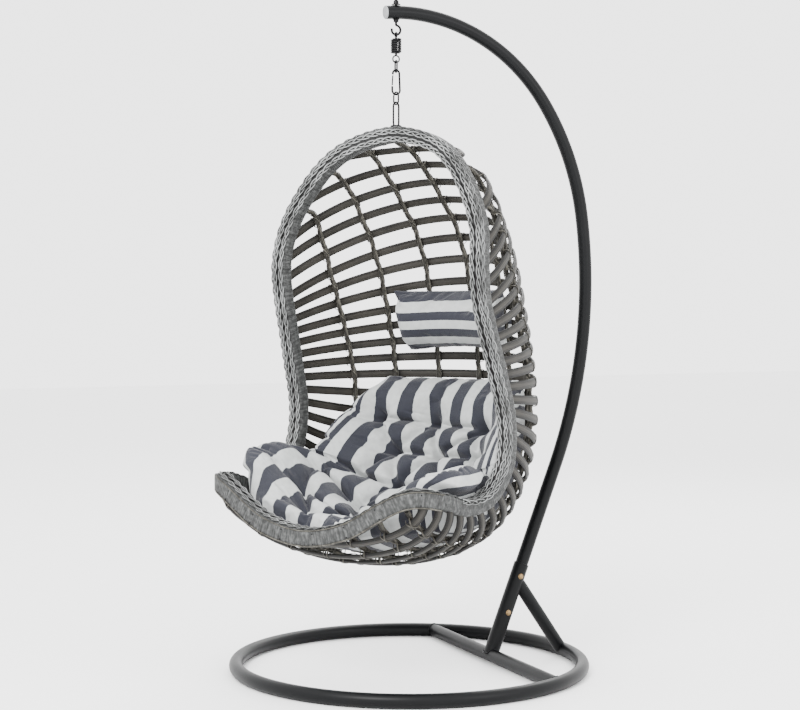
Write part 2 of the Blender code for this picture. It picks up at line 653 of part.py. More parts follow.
def build_links(upper, snap, gate, lower):
    mesh = closed_link("upper_link", UPPER_LINK_BEND, UPPER_LINK_TOP, UPPER_LINK_FLOOR, LINK_WIRE, (1, 0, 0))
    add_object("upper_link", mesh, chain_black(), upper, hang(0, LOWER_EYE_FLOOR))
    across = (math.cos(LOWER_LINK_TURN), math.sin(LOWER_LINK_TURN), 0)
    mesh = closed_link("lower_link", LOWER_LINK_BEND, LOWER_LINK_TOP, LOWER_LINK_FLOOR, LINK_WIRE, across)
    add_object("lower_link", mesh, chain_black(), lower, hang(0, SNAP_FLOOR))
    beak = (-SNAP_NOSE, SNAP_TOP - SNAP_NOSE - SNAP_BEAK)
    bend = arc((0, SNAP_FLOOR + SNAP_BEND), SNAP_BEND, math.pi, 2 * math.pi, 8)
    crook = arc((0, SNAP_TOP - SNAP_NOSE), SNAP_NOSE, 0, math.pi, 8)
    points = [(-SNAP_BEND, GATE_HINGE[1] - SNAP_STUB)] + bend + crook + [beak]
    mesh = rod("snap_hook", [hang(y, z) for y, z in points], SNAP_WIRE, 8, (1, 0, 0))
    add_object("snap_hook", mesh, chain_black(), snap, hang(0, UPPER_LINK_FLOOR))
    nose = Vector(hang(*beak))
    foot = Vector(hang(*GATE_HINGE))
    along = (nose - foot).normalized()
    mesh = cylinder("snap_gate", foot - along * GATE_ENDS[0], nose - along * GATE_ENDS[1], GATE_WIRE, 6)
    add_object("snap_gate", mesh, chain_black(), gate, hang(*GATE_HINGE))


def build_hanger(basket):
    """A long loop in the basket's v and z plane, on a round foot on top of the rim."""
    foot_z = RIM_CREST + 2 * GAP
    upper = arc((0, HANGER_TOP - HANGER_BEND), HANGER_BEND, 0, math.pi, 8)
    tuck = HANGER_BEND - HANGER_TUCK
    low, full = (foot_z + rise for rise in HANGER_LEG)
    points = [(tuck, low), (HANGER_BEND, full)] + upper + [(-HANGER_BEND, full), (-tuck, low)]
    mesh = rod("basket_hanger", [(0, v, z) for v, z in points], HANGER_WIRE, 8, (1, 0, 0))
    hanger = add_object("basket_hanger", mesh, chain_black(), basket)
    profile = [(0.0, foot_z)] + [(radius, foot_z + rise) for radius, rise in HANGER_FOOT]
    boolean(hanger, make_cutter("hanger_foot", turned("hanger_foot", profile, 12, (0, 0)), basket), "UNION")


# Basket

def chamfered_box(wide, deep, chamfer):
    half_w, half_d = wide / 2, deep / 2
    inner_w, inner_d = half_w - chamfer, half_d - chamfer
    return [(half_w, -inner_d), (half_w, inner_d), (inner_w, half_d), (-inner_w, half_d),
            (-half_w, inner_d), (-half_w, -inner_d), (-inner_w, -half_d), (inner_w, -half_d)]


def rim_stations(steps):
    """Closed stations round the whole rim: side points outward and up points to the front."""
    total = RIM_LENGTHS[-1]
    half = [rim_frame_at(total * i / steps) for i in range(steps + 1)]
    flip = Vector((-1, 1, 1))
    other = [(p * flip, o * flip, f * flip) for p, o, f in half[-2:0:-1]]
    return half + other


def build_rim(basket):
    mesh = sweep("rim_frame", rim_stations(RIM_STEPS // 2), chamfered_box(RIM_WIDE, RIM_DEEP, RIM_CHAMFER),
                 closed=True)
    add_object("rim_frame", mesh, material("rim_braid", BRAID_GREY, 0.7), basket)
    spare = 3 * GAP
    section = chamfered_box(RIM_WIDE + 2 * spare, RIM_DEEP + 2 * spare, RIM_CHAMFER)
    fat = sweep("rim_cutter", rim_stations(RIM_STEPS // 2), section, closed=True)
    return make_cutter("rim_cutter", fat, basket)


def build_fascia(basket, rim_cutter):
    """A woven strip on the outer face of the front lip, from one arm rest round to the other."""
    stations = rim_stations(RIM_STEPS // 2)[FASCIA_FIRST:RIM_STEPS - FASCIA_FIRST + 1]
    near = RIM_WIDE / 2
    low = -RIM_DEEP / 2 + 0.002
    high = RIM_DEEP / 2 - RIM_CHAMFER
    section = [(near, low), (near + FASCIA_THICK, low), (near + FASCIA_THICK, high), (near, high)]
    finish = material("rim_braid", BRAID_GREY, 0.7)
    boolean(add_object("front_fascia", sweep("front_fascia", stations, section), finish, basket), rim_cutter)


def build_slats(basket, rim_cutter):
    half = SLAT_WIDE / 2
    section = [(-half, -SLAT_IN), (half, -SLAT_IN), (half * 0.75, SLAT_OUT * 0.6), (0, SLAT_OUT),
               (-half * 0.75, SLAT_OUT * 0.6)]
    finish = material("slat_brown", SLAT_BROWN, 0.6)
    for index in range(SLATS):
        stations = []
        for i in range(SLAT_STEPS + 1):
            angle = math.pi * i / SLAT_STEPS
            _, across, inward = surface_axes(index, angle)
            stations.append((surface_point(index, angle), across, -inward))
        name = f"slat_{index + 1:02d}"
        slat = add_object(name, sweep(name, stations, section), finish, basket)
        boolean(slat, rim_cutter)


def rib_points(u):
    """The rib at a constant u, from the rim's top or side round to the lip, ends inside the rim."""
    spots = [inset_point(i / 4, u, RIB_INSET) for i in range(-4, 4 * SLATS + 1)]
    curve = np.array([tuple(p) for p in spots if p is not None])
    lengths = lengths_along(curve)
    return [Vector(at_length(curve, lengths, lengths[-1] * i / RIB_STEPS)) for i in range(RIB_STEPS + 1)]


def build_ribs(basket, rim_cutter):
    finish = material("rib_wrap", RIB_GREY, 0.75)
    for number, u in enumerate(RIB_PLACES):
        name = f"rib_{number + 1}"
        rib = add_object(name, rod(name, rib_points(u), RIB_RADIUS, 5, (1, 0, 0)), finish, basket)
        boolean(rib, rim_cutter)


# Soft parts

def padded_solid(name, rows):
    """A closed solid from rows of (outer, inner) point pairs, each row running across the pad."""
    bm = bmesh.new()
    outer = [[bm.verts.new(pair[0]) for pair in row] for row in rows]
    inner = [[bm.verts.new(pair[1]) for pair in row] for row in rows]
    count = len(rows)
    wide = len(rows[0])
    for grid in (outer, inner):
        for i in range(count - 1):
            for j in range(wide - 1):
                bm.faces.new((grid[i][j], grid[i][j + 1], grid[i + 1][j + 1], grid[i + 1][j]))
    edge = [(0, j) for j in range(wide)] + [(i, wide - 1) for i in range(1, count)]
    edge += [(count - 1, j) for j in range(wide - 2, -1, -1)] + [(i, 0) for i in range(count - 2, 0, -1)]
    for (i, j), (k, m) in zip(edge, edge[1:] + edge[:1]):
        bm.faces.new((outer[i][j], outer[k][m], inner[k][m], inner[i][j]))
    return finish_mesh(name, bm)


def ramp(value, span):
    return min(max((value - span[0]) / (span[1] - span[0]), 0.0), 1.0)


def pad_row(row, columns, centre_u=0.0):
    """One row of a pad on a hoop: a share of its middle's thickness at the sides, which may be above 1."""
    index, half_u, thick, share = row
    start, spine = hoop_ends(index)
    inward = Vector((0, start.y - spine.y, start.z - spine.z)).normalized()
    pairs = []
    for j in range(columns + 1):
        across = 2 * j / columns - 1
        under = inset_point(index, centre_u + half_u * across, CUSHION_INSET)
        fall = math.sqrt(1 - across ** 4) if share < 1 else 1 - across ** 2
        crown = share + (1 - share) * fall
        upright = ramp(abs(under.x), ARM_REST_U) * ramp(index, ARM_REST_HOOPS) * ARM_REST_LIFT
        rise = (inward + Vector((0, 0, upright))).normalized()
        pairs.append((under, under + rise * thick * crown))
    return pairs


def build_seat_cushion(basket):
    """One pad: it lies on the ribs, laps to the lip and the arm rests and climbs the back."""
    mesh = padded_solid("seat_cushion", [pad_row(row, 8) for row in SEAT_ROWS])
    add_object("seat_cushion", mesh, material("cushion_fabric", NAVY, 0.9), basket)


def build_pillow(basket):
    mesh = padded_solid("head_pillow", [pad_row(row, 6, PILLOW_U) for row in PILLOW_ROWS])
    add_object("head_pillow", mesh, material("cushion_fabric", NAVY, 0.9), basket)


def build_pillow_ties(basket):
    """Two short flat ties between the pillow's back and the slats, clear of the ribs."""
    half = Vector((TIE_WIDE / 2, 0, 0))
    for name, u in (("pillow_tie_left", PILLOW_U - TIE_U), ("pillow_tie_right", PILLOW_U + TIE_U)):
        rows = []
        for index in TIE_HOOPS:
            back = inset_point(index, u, TIE_INSET)
            front = inset_point(index, u, TIE_INSET + TIE_THICK)
            rows.append([(front - half, back - half), (front + half, back + half)])
        add_object(name, padded_solid(name, rows), material("cushion_fabric", NAVY, 0.9), basket)


# Assembly

def empty(name, parent=None, location=(0, 0, 0), turn=0.0):
    made = bpy.data.objects.new(name, None)
    made.location = location
    made.rotation_euler = (0, 0, turn)
    made.parent = parent
    bpy.context.scene.collection.objects.link(made)
    return made


def main():
    for old in list(bpy.data.objects):
        bpy.data.objects.remove(old, do_unlink=True)
    stand = empty("stand", None, (-FOOTPRINT_CENTRE[0], -FOOTPRINT_CENTRE[1], 0))
    ring_cutter = build_ring(stand)
    bar_cutter = build_cross_bar(stand, ring_cutter)
    post, post_cutter = build_post(stand, bar_cutter)
    build_brace(stand, ring_cutter, post_cutter)
    arm = build_arm(stand)
    build_post_bolts(stand, arm, post)
    build_hook(stand, arm)
    build_spring(stand, stand)
    build_links(stand, stand, stand, stand)
    basket = empty("basket", stand, (0, HANG_Y, 0), BASKET_TURN)
    build_hanger(basket)
    rim_cutter = build_rim(basket)
    build_fascia(basket, rim_cutter)
    build_slats(basket, rim_cutter)
    build_ribs(basket, rim_cutter)
    build_seat_cushion(basket)
    build_pillow(basket)
    build_pillow_ties(basket)


main()
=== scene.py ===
"""Looks of the hanging egg chair: smooth tubes, braided rim, ribbed slats, wound ribs, tufted cushions.

The basket's own axes are u to its right, v to its rear and z up. Its surface is a family of half-elliptic
hoops from one side of the rim round to the other, numbered from 0 at the top to 27 near the front lip.
"""
import math

import bmesh
import bpy
import numpy as np
from mathutils import Matrix, Vector


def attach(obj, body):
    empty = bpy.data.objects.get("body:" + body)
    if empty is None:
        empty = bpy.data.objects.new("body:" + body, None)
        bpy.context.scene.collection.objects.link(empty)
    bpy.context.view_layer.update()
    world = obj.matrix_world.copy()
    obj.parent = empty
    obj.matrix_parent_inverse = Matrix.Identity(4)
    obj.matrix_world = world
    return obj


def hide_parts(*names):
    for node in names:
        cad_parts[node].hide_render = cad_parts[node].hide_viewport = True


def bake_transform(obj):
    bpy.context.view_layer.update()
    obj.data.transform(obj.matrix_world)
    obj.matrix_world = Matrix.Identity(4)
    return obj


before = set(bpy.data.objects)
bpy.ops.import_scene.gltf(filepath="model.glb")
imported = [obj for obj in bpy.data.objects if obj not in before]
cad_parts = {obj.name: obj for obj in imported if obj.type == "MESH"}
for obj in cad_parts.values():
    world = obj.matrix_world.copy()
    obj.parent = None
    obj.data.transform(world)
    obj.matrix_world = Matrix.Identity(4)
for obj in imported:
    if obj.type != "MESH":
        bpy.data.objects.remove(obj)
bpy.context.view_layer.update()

TAU = 2 * math.pi
UP, RIGHT = (0, 0, 1), (1, 0, 0)


def millimetres(*points):
    return np.array(points) / 1000


# Places shared with the CAD, in metres
STAND_Y = -0.02156                # the ring's centre
HANG_Y = -0.06256                 # the line the basket hangs on
BASKET_TURN = math.radians(29.5)
RING_RADIUS, RING_TUBE = 0.505, 0.0205
CROSS_BAR_Y, CROSS_BAR_TUBE = 0.265, 0.0195
POST_TUBE, POST_TOP_Z = 0.0225, 0.290
ARM_TUBE, ARM_FOOT_Z = 0.0193, 0.105
ARM_TIP, ARM_TIP_RISE = (-0.072, 1.9069), math.radians(4.1)
ARM_ARCS = ((0.012, 0.0), (0.550, math.radians(59.8)), (0.792, math.radians(26.7)),
            (1.525, math.radians(28.5)))
BRACE_TUBE, BRACE_TOP = 0.0190, (0.366, 0.216)
BRACE_TUCK = 0.020                # how far the brace's end runs into the post
POST_BOLT_Z = (0.148, 0.254)

HOOK_WIRE, HOOK_BEND, HOOK_CENTRE_Z = 0.0035, 0.0135, 1.858
HOOK_NECK_Z, SHANK_TOP_Z = 1.888, 1.9401
DOME_NUT_Z, LOCK_NUT_Z = 1.9298, 1.8806
SPRING_WIRE, SPRING_MEAN, SPRING_TURNS, SPRING_PITCH, COIL_TOP = 0.0022, 0.0138, 8, 0.0050, 1.8344
TOP_EYE, LOWER_EYE = (1.8444, 0.0068), (1.7748, 0.0100)
COIL_BOTTOM = COIL_TOP - SPRING_TURNS * SPRING_PITCH - 2 * SPRING_WIRE
LINK_WIRE = 0.0025
UPPER_LINK = (0.0075, 1.7705, 1.7370)    # half width, top and bottom
LOWER_LINK, LOWER_LINK_TURN = (0.0110, 1.6800, 1.6445), math.radians(15)
SNAP_WIRE, SNAP_BEND, SNAP_NOSE, SNAP_TOP, SNAP_FLOOR = 0.0030, 0.0120, 0.0100, 1.7435, 1.6735
SNAP_HINGE_RISE, GATE_WIRE = 0.027, 0.0021
HANGER_WIRE, HANGER_BEND, HANGER_TOP, HANGER_FOOT_Z = 0.0028, 0.0125, 1.6508, 1.5791

RIM_WIDE, RIM_DEEP = 0.045, 0.050
RIM_HALF = millimetres(
    (0, 0, 1556), (144, -12, 1527), (238, -32, 1465), (312, -55, 1365), (350, -73, 1275),
    (361, -87, 1180), (361, -77, 1084), (365, -54, 1001), (373, -21, 891), (380, 10, 780),
    (385, 13, 690), (388, -12, 610), (384, -80, 540), (378, -180, 521), (374, -290, 550),
    (340, -365, 563), (270, -388, 530), (150, -398, 465), (0, -400, 437)
)
SPINE = millimetres(
    (0, 1556), (75, 1530), (150, 1475), (235, 1390), (305, 1310), (350, 1225), (380, 1130), (410, 1000),
    (427, 870), (420, 740), (380, 610), (290, 485), (155, 385), (0, 335), (-160, 335), (-300, 370),
    (-400, 437)
)
SLATS = 28
HOOP_ON_RIM = ((-1, 0.0), (0, 0.24), (1, 0.42), (2, 0.52), (5, 0.69), (17, 1.12), (27, 1.54), (28, 1.949))
HOOP_ON_SPINE = ((-1, 0.0), (0, 0.097), (8, 0.659), (12, 0.882), (27, 2.0), (28, 2.0398))
HOOP_OUT, HOOP_BACK = 0.012, 0.015
RIB_PLACES = (-0.325, -0.245, -0.133, 0.0, 0.133, 0.245, 0.325)
RIB_INSET = 0.0165

# Looks, in metres
TUBE_SIDES, WIRE_SIDES = 40, 16
WELD = 0.0022
WRAP_PITCH, BAND_RISE = 0.0046, 0.0012
BRAID_PITCH, BRAID_SWAY, BRAID_RISE = 0.100, 0.0060, 0.0022
BRAID_ROWS = (-0.0118, 0.0102)
EDGE_BRAID_REACH = 1.42           # the outer braid's length each way from the top
STRAND_HALF, STRAND_THICK = 0.0026, 0.0017
FASCIA_FIRST = 1.50               # where the fascia begins, along the rim from the top
FASCIA_PITCH, NAIL_PITCH = 0.0072, 0.1150
RIB_ROD, LASH_HALF = 0.0062, 0.0017
STRIPE, PILLOW_STRIPE, THREAD_PITCH = 0.044, 0.040, 0.0016
NAVY, WHITE = (0.0046, 0.0056, 0.0125), (0.36, 0.372, 0.368)

# Profiles of turned pieces, as radius and height
DOME_NUT = millimetres((0, 0), (13.5, 0), (13.5, 1.4), (10.5, 1.6), (10.5, 3.0), (7.8, 3.2), (7.8, 8.8),
                       (7.2, 10.8), (5.5, 13.8), (3.0, 15.6), (0, 16.2))
LOCK_NUT = millimetres((0, 0), (6.8, 0), (7.4, 0.8), (7.4, 5.8), (6.8, 6.6), (10, 6.8), (10, 8), (0, 8))
BOLT_HEAD = millimetres((0, 0), (8.2, 0), (8.2, 1), (7.4, 1.4), (7, 3), (4.8, 4.6), (2.4, 5), (0, 5))
BOLT_NUT = millimetres((0, 0), (8.6, 0), (8.6, 1.2), (7.2, 1.4), (7, 7.2), (6.2, 8), (4, 8), (3.8, 10.8),
                       (0, 10.8))
HANGER_PLATE = millimetres((0, 0), (16.5, 0), (16.8, 1.2), (16.5, 3.6), (14.5, 5.8), (10, 6.6), (0, 6.8))
END_CAP = millimetres((0, -0.2), (19.1, -0.2), (19.1, 2.2), (17.7, 3.6), (14.3, 4), (13.7, 3), (0, 2.8))
# One lashing strand: along the slat, across it and out from it
LASHING = millimetres((-7, -15.5, -13), (-7, -15.2, -4), (-5.5, -12.5, 3.4), (0, 0, 6.2), (5.5, 12.5, 3.4),
                      (7, 15.2, -4), (7, 15.5, -13))


# Meshes

def unit(vectors):
    return vectors / np.maximum(np.linalg.norm(vectors, axis=-1, keepdims=True), 1e-12)


def link_object(name, data):
    made = bpy.data.objects.new(name, data)
    bpy.context.scene.collection.objects.link(made)
    return made


def make_object(name, verts, faces, finish, uvs=None, sharp=None):
    mesh = bpy.data.meshes.new(name)
    mesh.from_pydata(np.asarray(verts).tolist(), [], faces)
    mesh.materials.append(finish)
    if uvs is not None:
        layer = mesh.uv_layers.new(name="grain")
        loops = np.empty(len(mesh.loops), int)
        mesh.loops.foreach_get("vertex_index", loops)
        layer.data.foreach_set("uv", np.asarray(uvs)[loops].ravel())
    mesh.shade_smooth()
    if sharp:
        mesh.set_sharp_from_angle(angle=math.radians(sharp))
    return link_object(name, mesh)


def path_frames(points, ups, closed=False):
    """Side and up directions at each point of a path, up staying as near as it can to ups."""
    along = unit(np.roll(points, -1, 0) - np.roll(points, 1, 0) if closed else np.gradient(points, axis=0))
    ups = np.broadcast_to(np.asarray(ups, float), points.shape)
    side = unit(np.cross(along, ups))
    return side, np.cross(side, along)


def swept(points, side, up, section, closed=False):
    """Vertices, faces and grain coordinates of a section (m, 2) or (n, m, 2) swept along points (n, 3)."""
    points, section = np.asarray(points, float), np.asarray(section, float)
    side, up = (np.broadcast_to(axis, points.shape) for axis in (side, up))
    if section.ndim == 2:
        section = np.broadcast_to(section, (len(points),) + section.shape)
    n, m = section.shape[:2]
    verts = points[:, None] + side[:, None] * section[..., :1] + up[:, None] * section[..., 1:]
    steps = n if closed else n - 1
    i = np.arange(steps)[:, None]
    j = np.arange(m)[None]
    here, there = i * m, ((i + 1) % n) * m
    k = (j + 1) % m
    faces = np.stack([here + j, there + j, there + k, here + k], -1).reshape(-1, 4).tolist()
    if not closed:
        faces.append(list(range(m)))
        faces.append(list(range(n * m - 1, (n - 1) * m - 1, -1)))
    uvs = np.stack(np.broadcast_arrays(lengths_along(points)[:, None], j / m), -1).reshape(-1, 2)
    return verts.reshape(-1, 3), faces, uvs


def strand(points, ups, section, closed=False):
    """A section swept along points, its up side facing as near as it can to ups."""
    points = np.asarray(points, float)
    return swept(points, *path_frames(points, ups, closed), section, closed)


def combine(parts):
    """One set of vertices, faces and grain coordinates from several."""
    verts, faces, uvs, base = [], [], [], 0
    for index, (v, f, t) in enumerate(parts):
        verts.append(v)
        faces += [[a + base for a in face] for face in f]
        uvs.append(t + [index * 0.37, 0.0])
        base += len(v)
    return np.concatenate(verts), faces, np.concatenate(uvs)


def ellipse(half_wide, half_thick, sides):
    angles = TAU * np.arange(sides) / sides
    return np.stack([half_wide * np.cos(angles), half_thick * np.sin(angles)], -1)


def round_section(radii, sides):
    return ellipse(1, 1, sides)[None] * np.asarray(radii)[:, None, None]


def rounded_box(half_wide, half_deep, radius, per_corner=4):
    points = []
    for quarter, (x, y) in enumerate(((1, 1), (-1, 1), (-1, -1), (1, -1))):
        for k in range(per_corner):
            angle = math.pi / 2 * (quarter + k / (per_corner - 1))
            points.append((x * (half_wide - radius) + radius * math.cos(angle),
                           y * (half_deep - radius) + radius * math.sin(angle)))
    return np.array(points)


def smooth_curve(points, steps=24):
    spots = np.array(points, float)
    spots = np.vstack([2 * spots[0] - spots[1], spots, 2 * spots[-1] - spots[-2]])
    t = np.arange(steps)[:, None] / steps
    out = []
    for i in range(1, len(spots) - 2):
        a, b, c, d = spots[i - 1:i + 3]
        out.append(0.5 * (2 * b + (c - a) * t + (2 * a - 5 * b + 4 * c - d) * t * t
                          + (3 * b - a - 3 * c + d) * t ** 3))
    return np.vstack(out + [spots[-2:-1]])


def lengths_along(curve):
    return np.concatenate([[0.0], np.cumsum(np.linalg.norm(np.diff(curve, axis=0), axis=1))])


def at_lengths(curve, lengths, where):
    return np.stack([np.interp(where, lengths, curve[:, i]) for i in range(curve.shape[1])], -1)


def resampled(curve, step):
    lengths = lengths_along(curve)
    return at_lengths(curve, lengths, np.linspace(0, lengths[-1], max(2, round(lengths[-1] / step) + 1)))


# The basket's surface

def rim_table():
    """Lengths, centres, outward and frontward directions down the rim's side with positive u."""
    flip = np.array([-1, 1, 1])
    half, steps = RIM_HALF, 24
    whole = smooth_curve(np.vstack([half[2:0:-1] * flip, half, half[-2:-4:-1] * flip]), steps)
    curve = whole[2 * steps:len(whole) - 2 * steps]
    lengths = lengths_along(curve)
    where = np.linspace(0, lengths[-1], 400)
    centre = at_lengths(curve, lengths, where)
    ahead = at_lengths(curve, lengths, np.minimum(where + 0.006, lengths[-1]))
    behind = at_lengths(curve, lengths, np.maximum(where - 0.006, 0.0))
    ahead[-1] = behind[-1] * flip
    behind[0] = ahead[0] * flip
    along = unit(ahead - behind)
    lean = np.interp(where, (1.05, 1.42), (0.0, math.pi / 2))
    front = np.stack([np.zeros_like(lean), -np.cos(lean), np.sin(lean)], -1)
    front = unit(front - along * np.sum(front * along, -1, keepdims=True))
    outward = np.cross(front, along)
    upper = where[:, None] < 1.0
    heart = np.where(upper, (centre - [0, 0, 1.0]) * [1, 0, 1], centre * [1, 1, 0])
    outward *= np.sign(np.sum(outward * heart, -1, keepdims=True))
    return where, centre, unit(outward), front


RIM_S, RIM_C, RIM_O, RIM_F = rim_table()
RIM_TOTAL = RIM_S[-1]
SPINE_CURVE = smooth_curve(SPINE)
SPINE_LENGTHS = lengths_along(SPINE_CURVE)


def rim_at(where):
    """Centre, outward and front at lengths round the whole rim, 0 at the top and growing towards u > 0."""
    where = np.mod(np.asarray(where, float), 2 * RIM_TOTAL)
    far = where > RIM_TOTAL
    near = np.where(far, 2 * RIM_TOTAL - where, where)
    flip = np.where(far[:, None], [-1.0, 1, 1], [1.0, 1, 1])
    centre, outward, front = (at_lengths(a, RIM_S, near) * flip for a in (RIM_C, RIM_O, RIM_F))
    return centre, unit(outward), unit(front)


def hoop_table():
    index = np.linspace(-1, SLATS, 30 * 16 + 1)
    on_rim = np.interp(index, *np.array(HOOP_ON_RIM).T)
    on_spine = np.interp(index, *np.array(HOOP_ON_SPINE).T)
    centre, outward, front = rim_at(on_rim)
    start = centre + outward * HOOP_OUT - front * HOOP_BACK
    return index, np.hstack([start, at_lengths(SPINE_CURVE, SPINE_LENGTHS, on_spine)])


HOOP_INDEX, HOOPS = hoop_table()


def surface(index, angle):
    """Points (n, 3) of the basket's surface: angle 0 is the rim at u > 0 and pi is the rim at u < 0."""
    index, angle = np.broadcast_arrays(np.asarray(index, float), np.asarray(angle, float))
    a, v, z, sv, sz = (np.interp(index, HOOP_INDEX, HOOPS[:, i]) for i in range(5))
    back = np.sin(angle)
    return np.stack([a * np.cos(angle), v + (sv - v) * back, z + (sz - z) * back], -1)


def surface_axes(index, angle):
    """Unit directions along the hoop, across it and into the basket."""
    index, angle = np.broadcast_arrays(np.asarray(index, float), np.asarray(angle, float))
    along = surface(index, angle + 0.02) - surface(index, angle - 0.02)
    down = surface(np.minimum(index + 0.125, SLATS), angle) - surface(np.maximum(index - 0.125, -1), angle)
    inward = unit(np.cross(along, down))
    along = unit(along)
    return along, np.cross(inward, along), inward


def inset_grid(inset, indices, count=49):
    """Points inset from the surface, (indices, count, 3), from the middle of each hoop out to u > 0."""
    angles = np.linspace(math.pi / 2, 0, count)
    grid, angle = np.meshgrid(indices, angles, indexing="ij")
    return surface(grid, angle) + surface_axes(grid, angle)[2] * inset


def rib_path(u, inset=RIB_INSET):
    indices = np.linspace(-1, SLATS, 233)
    points, places = [], []
    for index, row in zip(indices, inset_grid(inset, indices)):
        widths = np.maximum.accumulate(row[:, 0])
        if abs(u) < widths[-1]:
            points.append([u, np.interp(abs(u), widths, row[:, 1]), np.interp(abs(u), widths, row[:, 2])])
            places.append(index)
    return np.array(points), np.array(places)


# Materials

class Finish:
    """A node material in the making: its shader and the nodes that feed it."""

    def __init__(self, name):
        self.material = bpy.data.materials.new(name)
        self.material.use_nodes = True
        self.tree = self.material.node_tree
        self.shader = self.tree.nodes["Principled BSDF"]
        self.coords = self.node("ShaderNodeTexCoord").outputs

    def feed(self, socket, value):
        if isinstance(value, bpy.types.NodeSocket):
            self.tree.links.new(value, socket)
        else:
            socket.default_value = value

    def put(self, node, **values):
        """Sets a node's properties and its inputs, whose names have underscores for spaces."""
        for key, value in values.items():
            socket = node.inputs.get(key.replace("_", " "))
            if socket is None:
                setattr(node, key, value)
            else:
                self.feed(socket, value)
        return node

    def node(self, kind, **values):
        return self.put(self.tree.nodes.new(kind), **values)

    def maths(self, operation, *values):
        node = self.node("ShaderNodeMath", operation=operation)
        for socket, value in zip(node.inputs, values):
            self.feed(socket, value)
        return node.outputs[0]

    def noise(self, scale, detail=2.0, roughness=0.5, vector=None):
        return self.node("ShaderNodeTexNoise", Scale=scale, Detail=detail, Roughness=roughness,
                         Vector=vector or self.coords["Object"]).outputs["Fac"]

    def ramp(self, factor, *stops):
        node = self.node("ShaderNodeValToRGB", Fac=factor)
        elements = node.color_ramp.elements
        while len(elements) < len(stops):
            elements.new(0.5)
        for element, (place, colour) in zip(elements, stops):
            element.position = place
            element.color = (*colour, 1.0)
        return node.outputs["Color"]

    def done(self, bumps, **values):
        """The material, with bumps (height, distance, strength) one on top of another."""
        for height, distance, strength in bumps:
            node = self.node("ShaderNodeBump", Height=height, Distance=distance, Strength=strength)
            if "Normal" in values:
                self.put(node, Normal=values["Normal"])
            values["Normal"] = node.outputs["Normal"]
        self.put(self.shader, **values)
        return self.material


def toned(colour, share):
    return [min(c * share, 1.0) for c in colour]


def painted_steel(name, colour, rough, grain_scale=900.0):
    """Powder coat: fine orange-peel bump and slightly uneven sheen."""
    made = Finish(name)
    peel, patch = made.noise(grain_scale, 3.0), made.noise(9.0)
    tone = made.ramp(patch, (0.3, toned(colour, 0.85)), (0.7, toned(colour, 1.2)))
    spread = made.node("ShaderNodeMapRange", Value=patch, To_Min=rough - 0.06, To_Max=rough + 0.08)
    return made.done([(peel, 0.0002, 0.35)], Base_Color=tone, Roughness=spread.outputs["Result"],
                     Specular_IOR_Level=0.12)


def plain_metal(name, colour, rough):
    made = Finish(name)
    grain = made.noise(260.0, 4.0)
    tone = made.ramp(grain, (0.25, toned(colour, 0.6)), (0.75, colour))
    return made.done([(grain, 0.0001, 0.3)], Base_Color=tone, Metallic=0.85, Roughness=rough)


def rattan(name, dark, mid, light, along=26.0, across=7.0, mottle=14.0, crest=0.25, shade=0.0):
    """Synthetic cane: streaks along each strand over broad patches of lighter and darker strand, with painted
    light and shade: by shade, each strand is lighter at its crest and on the opposite face, and darker at its
    sides.
    """
    made = Finish(name)
    stretch = made.node("ShaderNodeMapping", Vector=made.coords["UV"], Scale=(along, across, 1.0))
    streak = made.noise(1.0, 4.0, 0.6, stretch.outputs["Vector"])
    patch, fine = made.noise(mottle, 3.0), made.noise(420.0)
    mixed = made.node("ShaderNodeMix", Factor=0.4, A=streak, B=patch).outputs["Result"]
    split = made.node("ShaderNodeSeparateXYZ", Vector=made.coords["UV"]).outputs
    # Painted light and shade: lighter where the section faces the crest and on the face opposite, darker at
    # its sides, scaled by shade.
    angle = made.maths("MULTIPLY_ADD", split["Y"], TAU, -TAU * crest)
    edge = made.maths("ABSOLUTE", made.maths("COSINE", angle))
    tone = made.ramp(made.maths("MULTIPLY_ADD", edge, shade, mixed), (0.34 + shade * 0.5, dark),
                     (0.5 + shade * 0.7, mid), (0.64 + shade, light))
    return made.done([(streak, 0.0006, 0.5), (fine, 0.0002, 0.4)], Base_Color=tone, Roughness=0.55,
                     Specular_IOR_Level=0.2)


def striped_fabric(name, pitch):
    """Woven polyester in even stripes, read from where each point lies across the flat cloth."""
    made = Finish(name)
    place = made.node("ShaderNodeAttribute", attribute_name="cross").outputs["Vector"]
    split = made.node("ShaderNodeSeparateXYZ", Vector=place).outputs
    edge = made.maths("MULTIPLY", made.maths("SUBTRACT", made.noise(220.0, 1.0), 0.5), THREAD_PITCH)
    phase = made.maths("FRACT", made.maths("DIVIDE", made.maths("ADD", split["X"], edge), pitch * 2))
    pick = made.maths("GREATER_THAN", phase, 0.5)
    patch, crease = made.noise(60.0, 3.0), made.noise(26.0, 4.0)
    navy, white = (made.ramp(patch, (0.3, toned(colour, 0.88)), (0.7, toned(colour, 1.06)))
                   for colour in (NAVY, WHITE))
    mixed = made.node("ShaderNodeMix", data_type="RGBA", Factor=pick, A=navy, B=white)
    weave = [made.maths("SINE", made.maths("MULTIPLY", split[axis], TAU / THREAD_PITCH)) for axis in "XY"]
    cloth = made.maths("MULTIPLY", *weave)
    return made.done([(crease, 0.006, 0.25), (cloth, 0.0002, 0.5)], Base_Color=mixed.outputs["Result"],
                     Roughness=0.85, Sheen_Weight=0.10, Sheen_Roughness=0.5)


